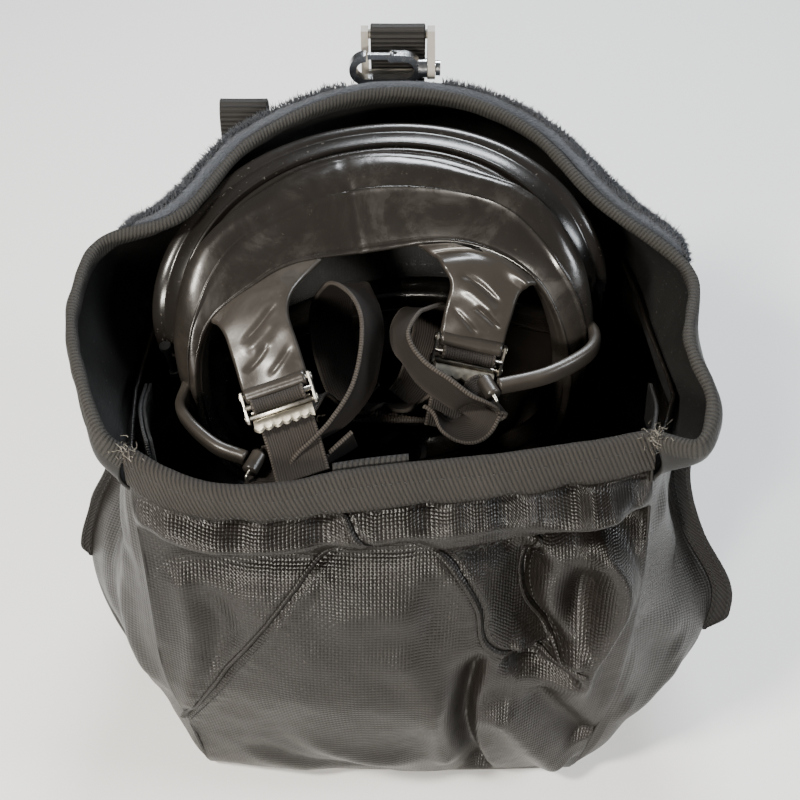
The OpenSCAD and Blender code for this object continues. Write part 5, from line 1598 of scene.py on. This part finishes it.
# Pieces that stay as they are in the solids: finer edges and their own finish
KEEP = {"component_housing": (HOUSING, .5), "port_gasket": (RUBBER, .25), "inlet_valve_disc": (VALVE, .2),
    "speaking_diaphragm": (FILM, .15), "diaphragm_cover": (COVER, .3),
        "exhalation_seat": (HOUSING, .3), "exhalation_disc": (VALVE, .2), "exhalation_cover": (COVER, .3),
        "nose_valve_left": (VALVE, .15), "nose_valve_right": (VALVE, .15),
        "frame_screws": (SCREW, .2), "clip_frame": (CLIP_GREY, .7), "clip_hook": (CHROME, .5),
        "clip_gate": (CHROME, .3), "base_panel": (CLOTH_SIDE, .8)}
for nm, (mat, bev) in KEEP.items():
    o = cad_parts[nm]
    o.data.materials.clear()
    o.data.materials.append(mat)
    b = o.modifiers.new("edges", "BEVEL")
    b.width, b.segments, b.limit_method, b.angle_limit = bev * MM, 2, "ANGLE", math.radians(35)
    b.harden_normals = False
    b.use_clamp_overlap = True
    o.data.polygons.foreach_set("use_smooth", [True] * len(o.data.polygons))
    o.data.set_sharp_from_angle(angle=math.radians(32))

# ------------------------------------------------------------------ what each piece stands for and moves with
for o, nodes in ((front, ("front_yoke", "front_lower_panel")), (side_objs[-1], ("side_panel_left",)),
    (side_objs[1], ("side_panel_right",)), (back, ("back_panel",)),
                 (hems[0], ("wing_hem_left",)), (hems[1], ("wing_hem_right",)), (hood_obj, ("hood",)),
                 (hood_bind, ("hood_binding",)), (fleece, ("fleece_band",)),
                 (mouth_bind, ("mouth_binding",)), (hook_objs[0], ("hook_strip_left",)),
                 (hook_objs[1], ("hook_strip_right",)), (id_tab, ("id_tab",)),
                 (loop_o, ("grab_loop",)), (hang_o, ("hanger_webbing",))):
    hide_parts(*nodes)
for o in [front, back, hood_obj, hood_bind, fleece, fray, mouth_bind, id_tab, loop_o,
    hang_o] + hems + hook_objs + front_seams + list(side_objs.values()):
    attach(o, "pouch")
for nm, sd in (("upper_left", -1), ("upper_right", 1)):
    o, path = STRAPS[nm]
    x_, y_, z_ = end_axes(TAB[sd], BAR_WAY)
    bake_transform(o)
for nm, sd in (("lower_left", -1), ("lower_right", 1)):
    o, path = STRAPS[nm]
    dirn = unit(np.array([.75, .25, .35]) if sd < 0 else np.array([-.6, -.2, .4]))
    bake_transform(o)
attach(pad, "facepiece")

SLOTS = {"coated_cloth": [front, back] + hems + front_seams + list(side_objs.values()), "hood_cloth": [hood_obj],
    "binding_tape": [hood_bind, mouth_bind, fray], "fleece": [fleece],
         "hook_tape": hook_objs, "webbing": [id_tab, loop_o, hang_o], "black_rubber": [blank], "lens": [lens_o],
         "frame_plastic": frame_objs, "nose_cup_rubber": [cup],
         "elastic": [v[0] for v in STRAPS.values()], "pad_cloth": [pad]}
for nm in ("left", "right"):
    SLOTS.setdefault("buckle_steel", []).extend([bpy.data.objects["buckle_" + nm + "_steel"],
        bpy.data.objects["ring_" + nm + "_wire"]])
    SLOTS.setdefault("cam_steel", []).append(bpy.data.objects["cam_" + nm + "_steel"])

# ------------------------------------------------------------------ light, floor and camera
sc = bpy.context.scene
world = bpy.data.worlds.new("studio")
sc.world = world
world.use_nodes = True
world.node_tree.nodes["Background"].inputs[0].default_value = (0.93, 0.96, 1.0, 1)
world.node_tree.nodes["Background"].inputs[1].default_value = 0.10


def area(name, loc, target, size, power_, color=(1, 1, 1)):
    l = bpy.data.lights.new(name, "AREA")
    l.shape = "RECTANGLE"
    l.size, l.size_y, l.energy, l.color = size[0], size[1], power_, color
    o = bpy.data.objects.new(name, l)
    sc.collection.objects.link(o)
    o.location = loc
    o.rotation_euler = (Vector(target) - Vector(loc)).to_track_quat("-Z", "Y").to_euler()
    return o


area("key", (-0.75, -0.50, 1.20), (0, 0, .15), (0.20, 0.20), 27, (1, .94, .85))
area("back", (0.15, 0.95, 1.15), (0, 0, .2), (0.6, 0.3), 24, (.90, .95, 1))
area("right", (1.05, -0.25, 0.80), (0, 0, .12), (0.25, 0.5), 11, (.90, .95, 1))
area("low", (-0.40, -1.20, 0.62), (0, 0, .11), (0.20, 0.15), 24, (1, .94, .85))
fm = bpy.data.materials.new("floor_pale")
fm.use_nodes = True
fm.node_tree.nodes["Principled BSDF"].inputs["Base Color"].default_value = (.88, .88, .87, 1)
fm.node_tree.nodes["Principled BSDF"].inputs["Roughness"].default_value = .7
bpy.ops.mesh.primitive_plane_add(size=8, location=(0, 0, 0))
floor = bpy.context.active_object
floor.name = "floor"
floor.data.materials.append(fm)
cam_d = bpy.data.cameras.new("camera")
cam_d.lens, cam_d.sensor_width = 60, 36
cam_o = bpy.data.objects.new("camera", cam_d)
sc.collection.objects.link(cam_o)
CAMERA_AT, LOOK_AT = (0, -0.4496, 0.6096), (0, 0.010, 0.150)
cam_o.location = CAMERA_AT
cam_o.rotation_euler = (Vector(LOOK_AT) - Vector(CAMERA_AT)).to_track_quat("-Z", "Y").to_euler()
sc.camera = cam_o
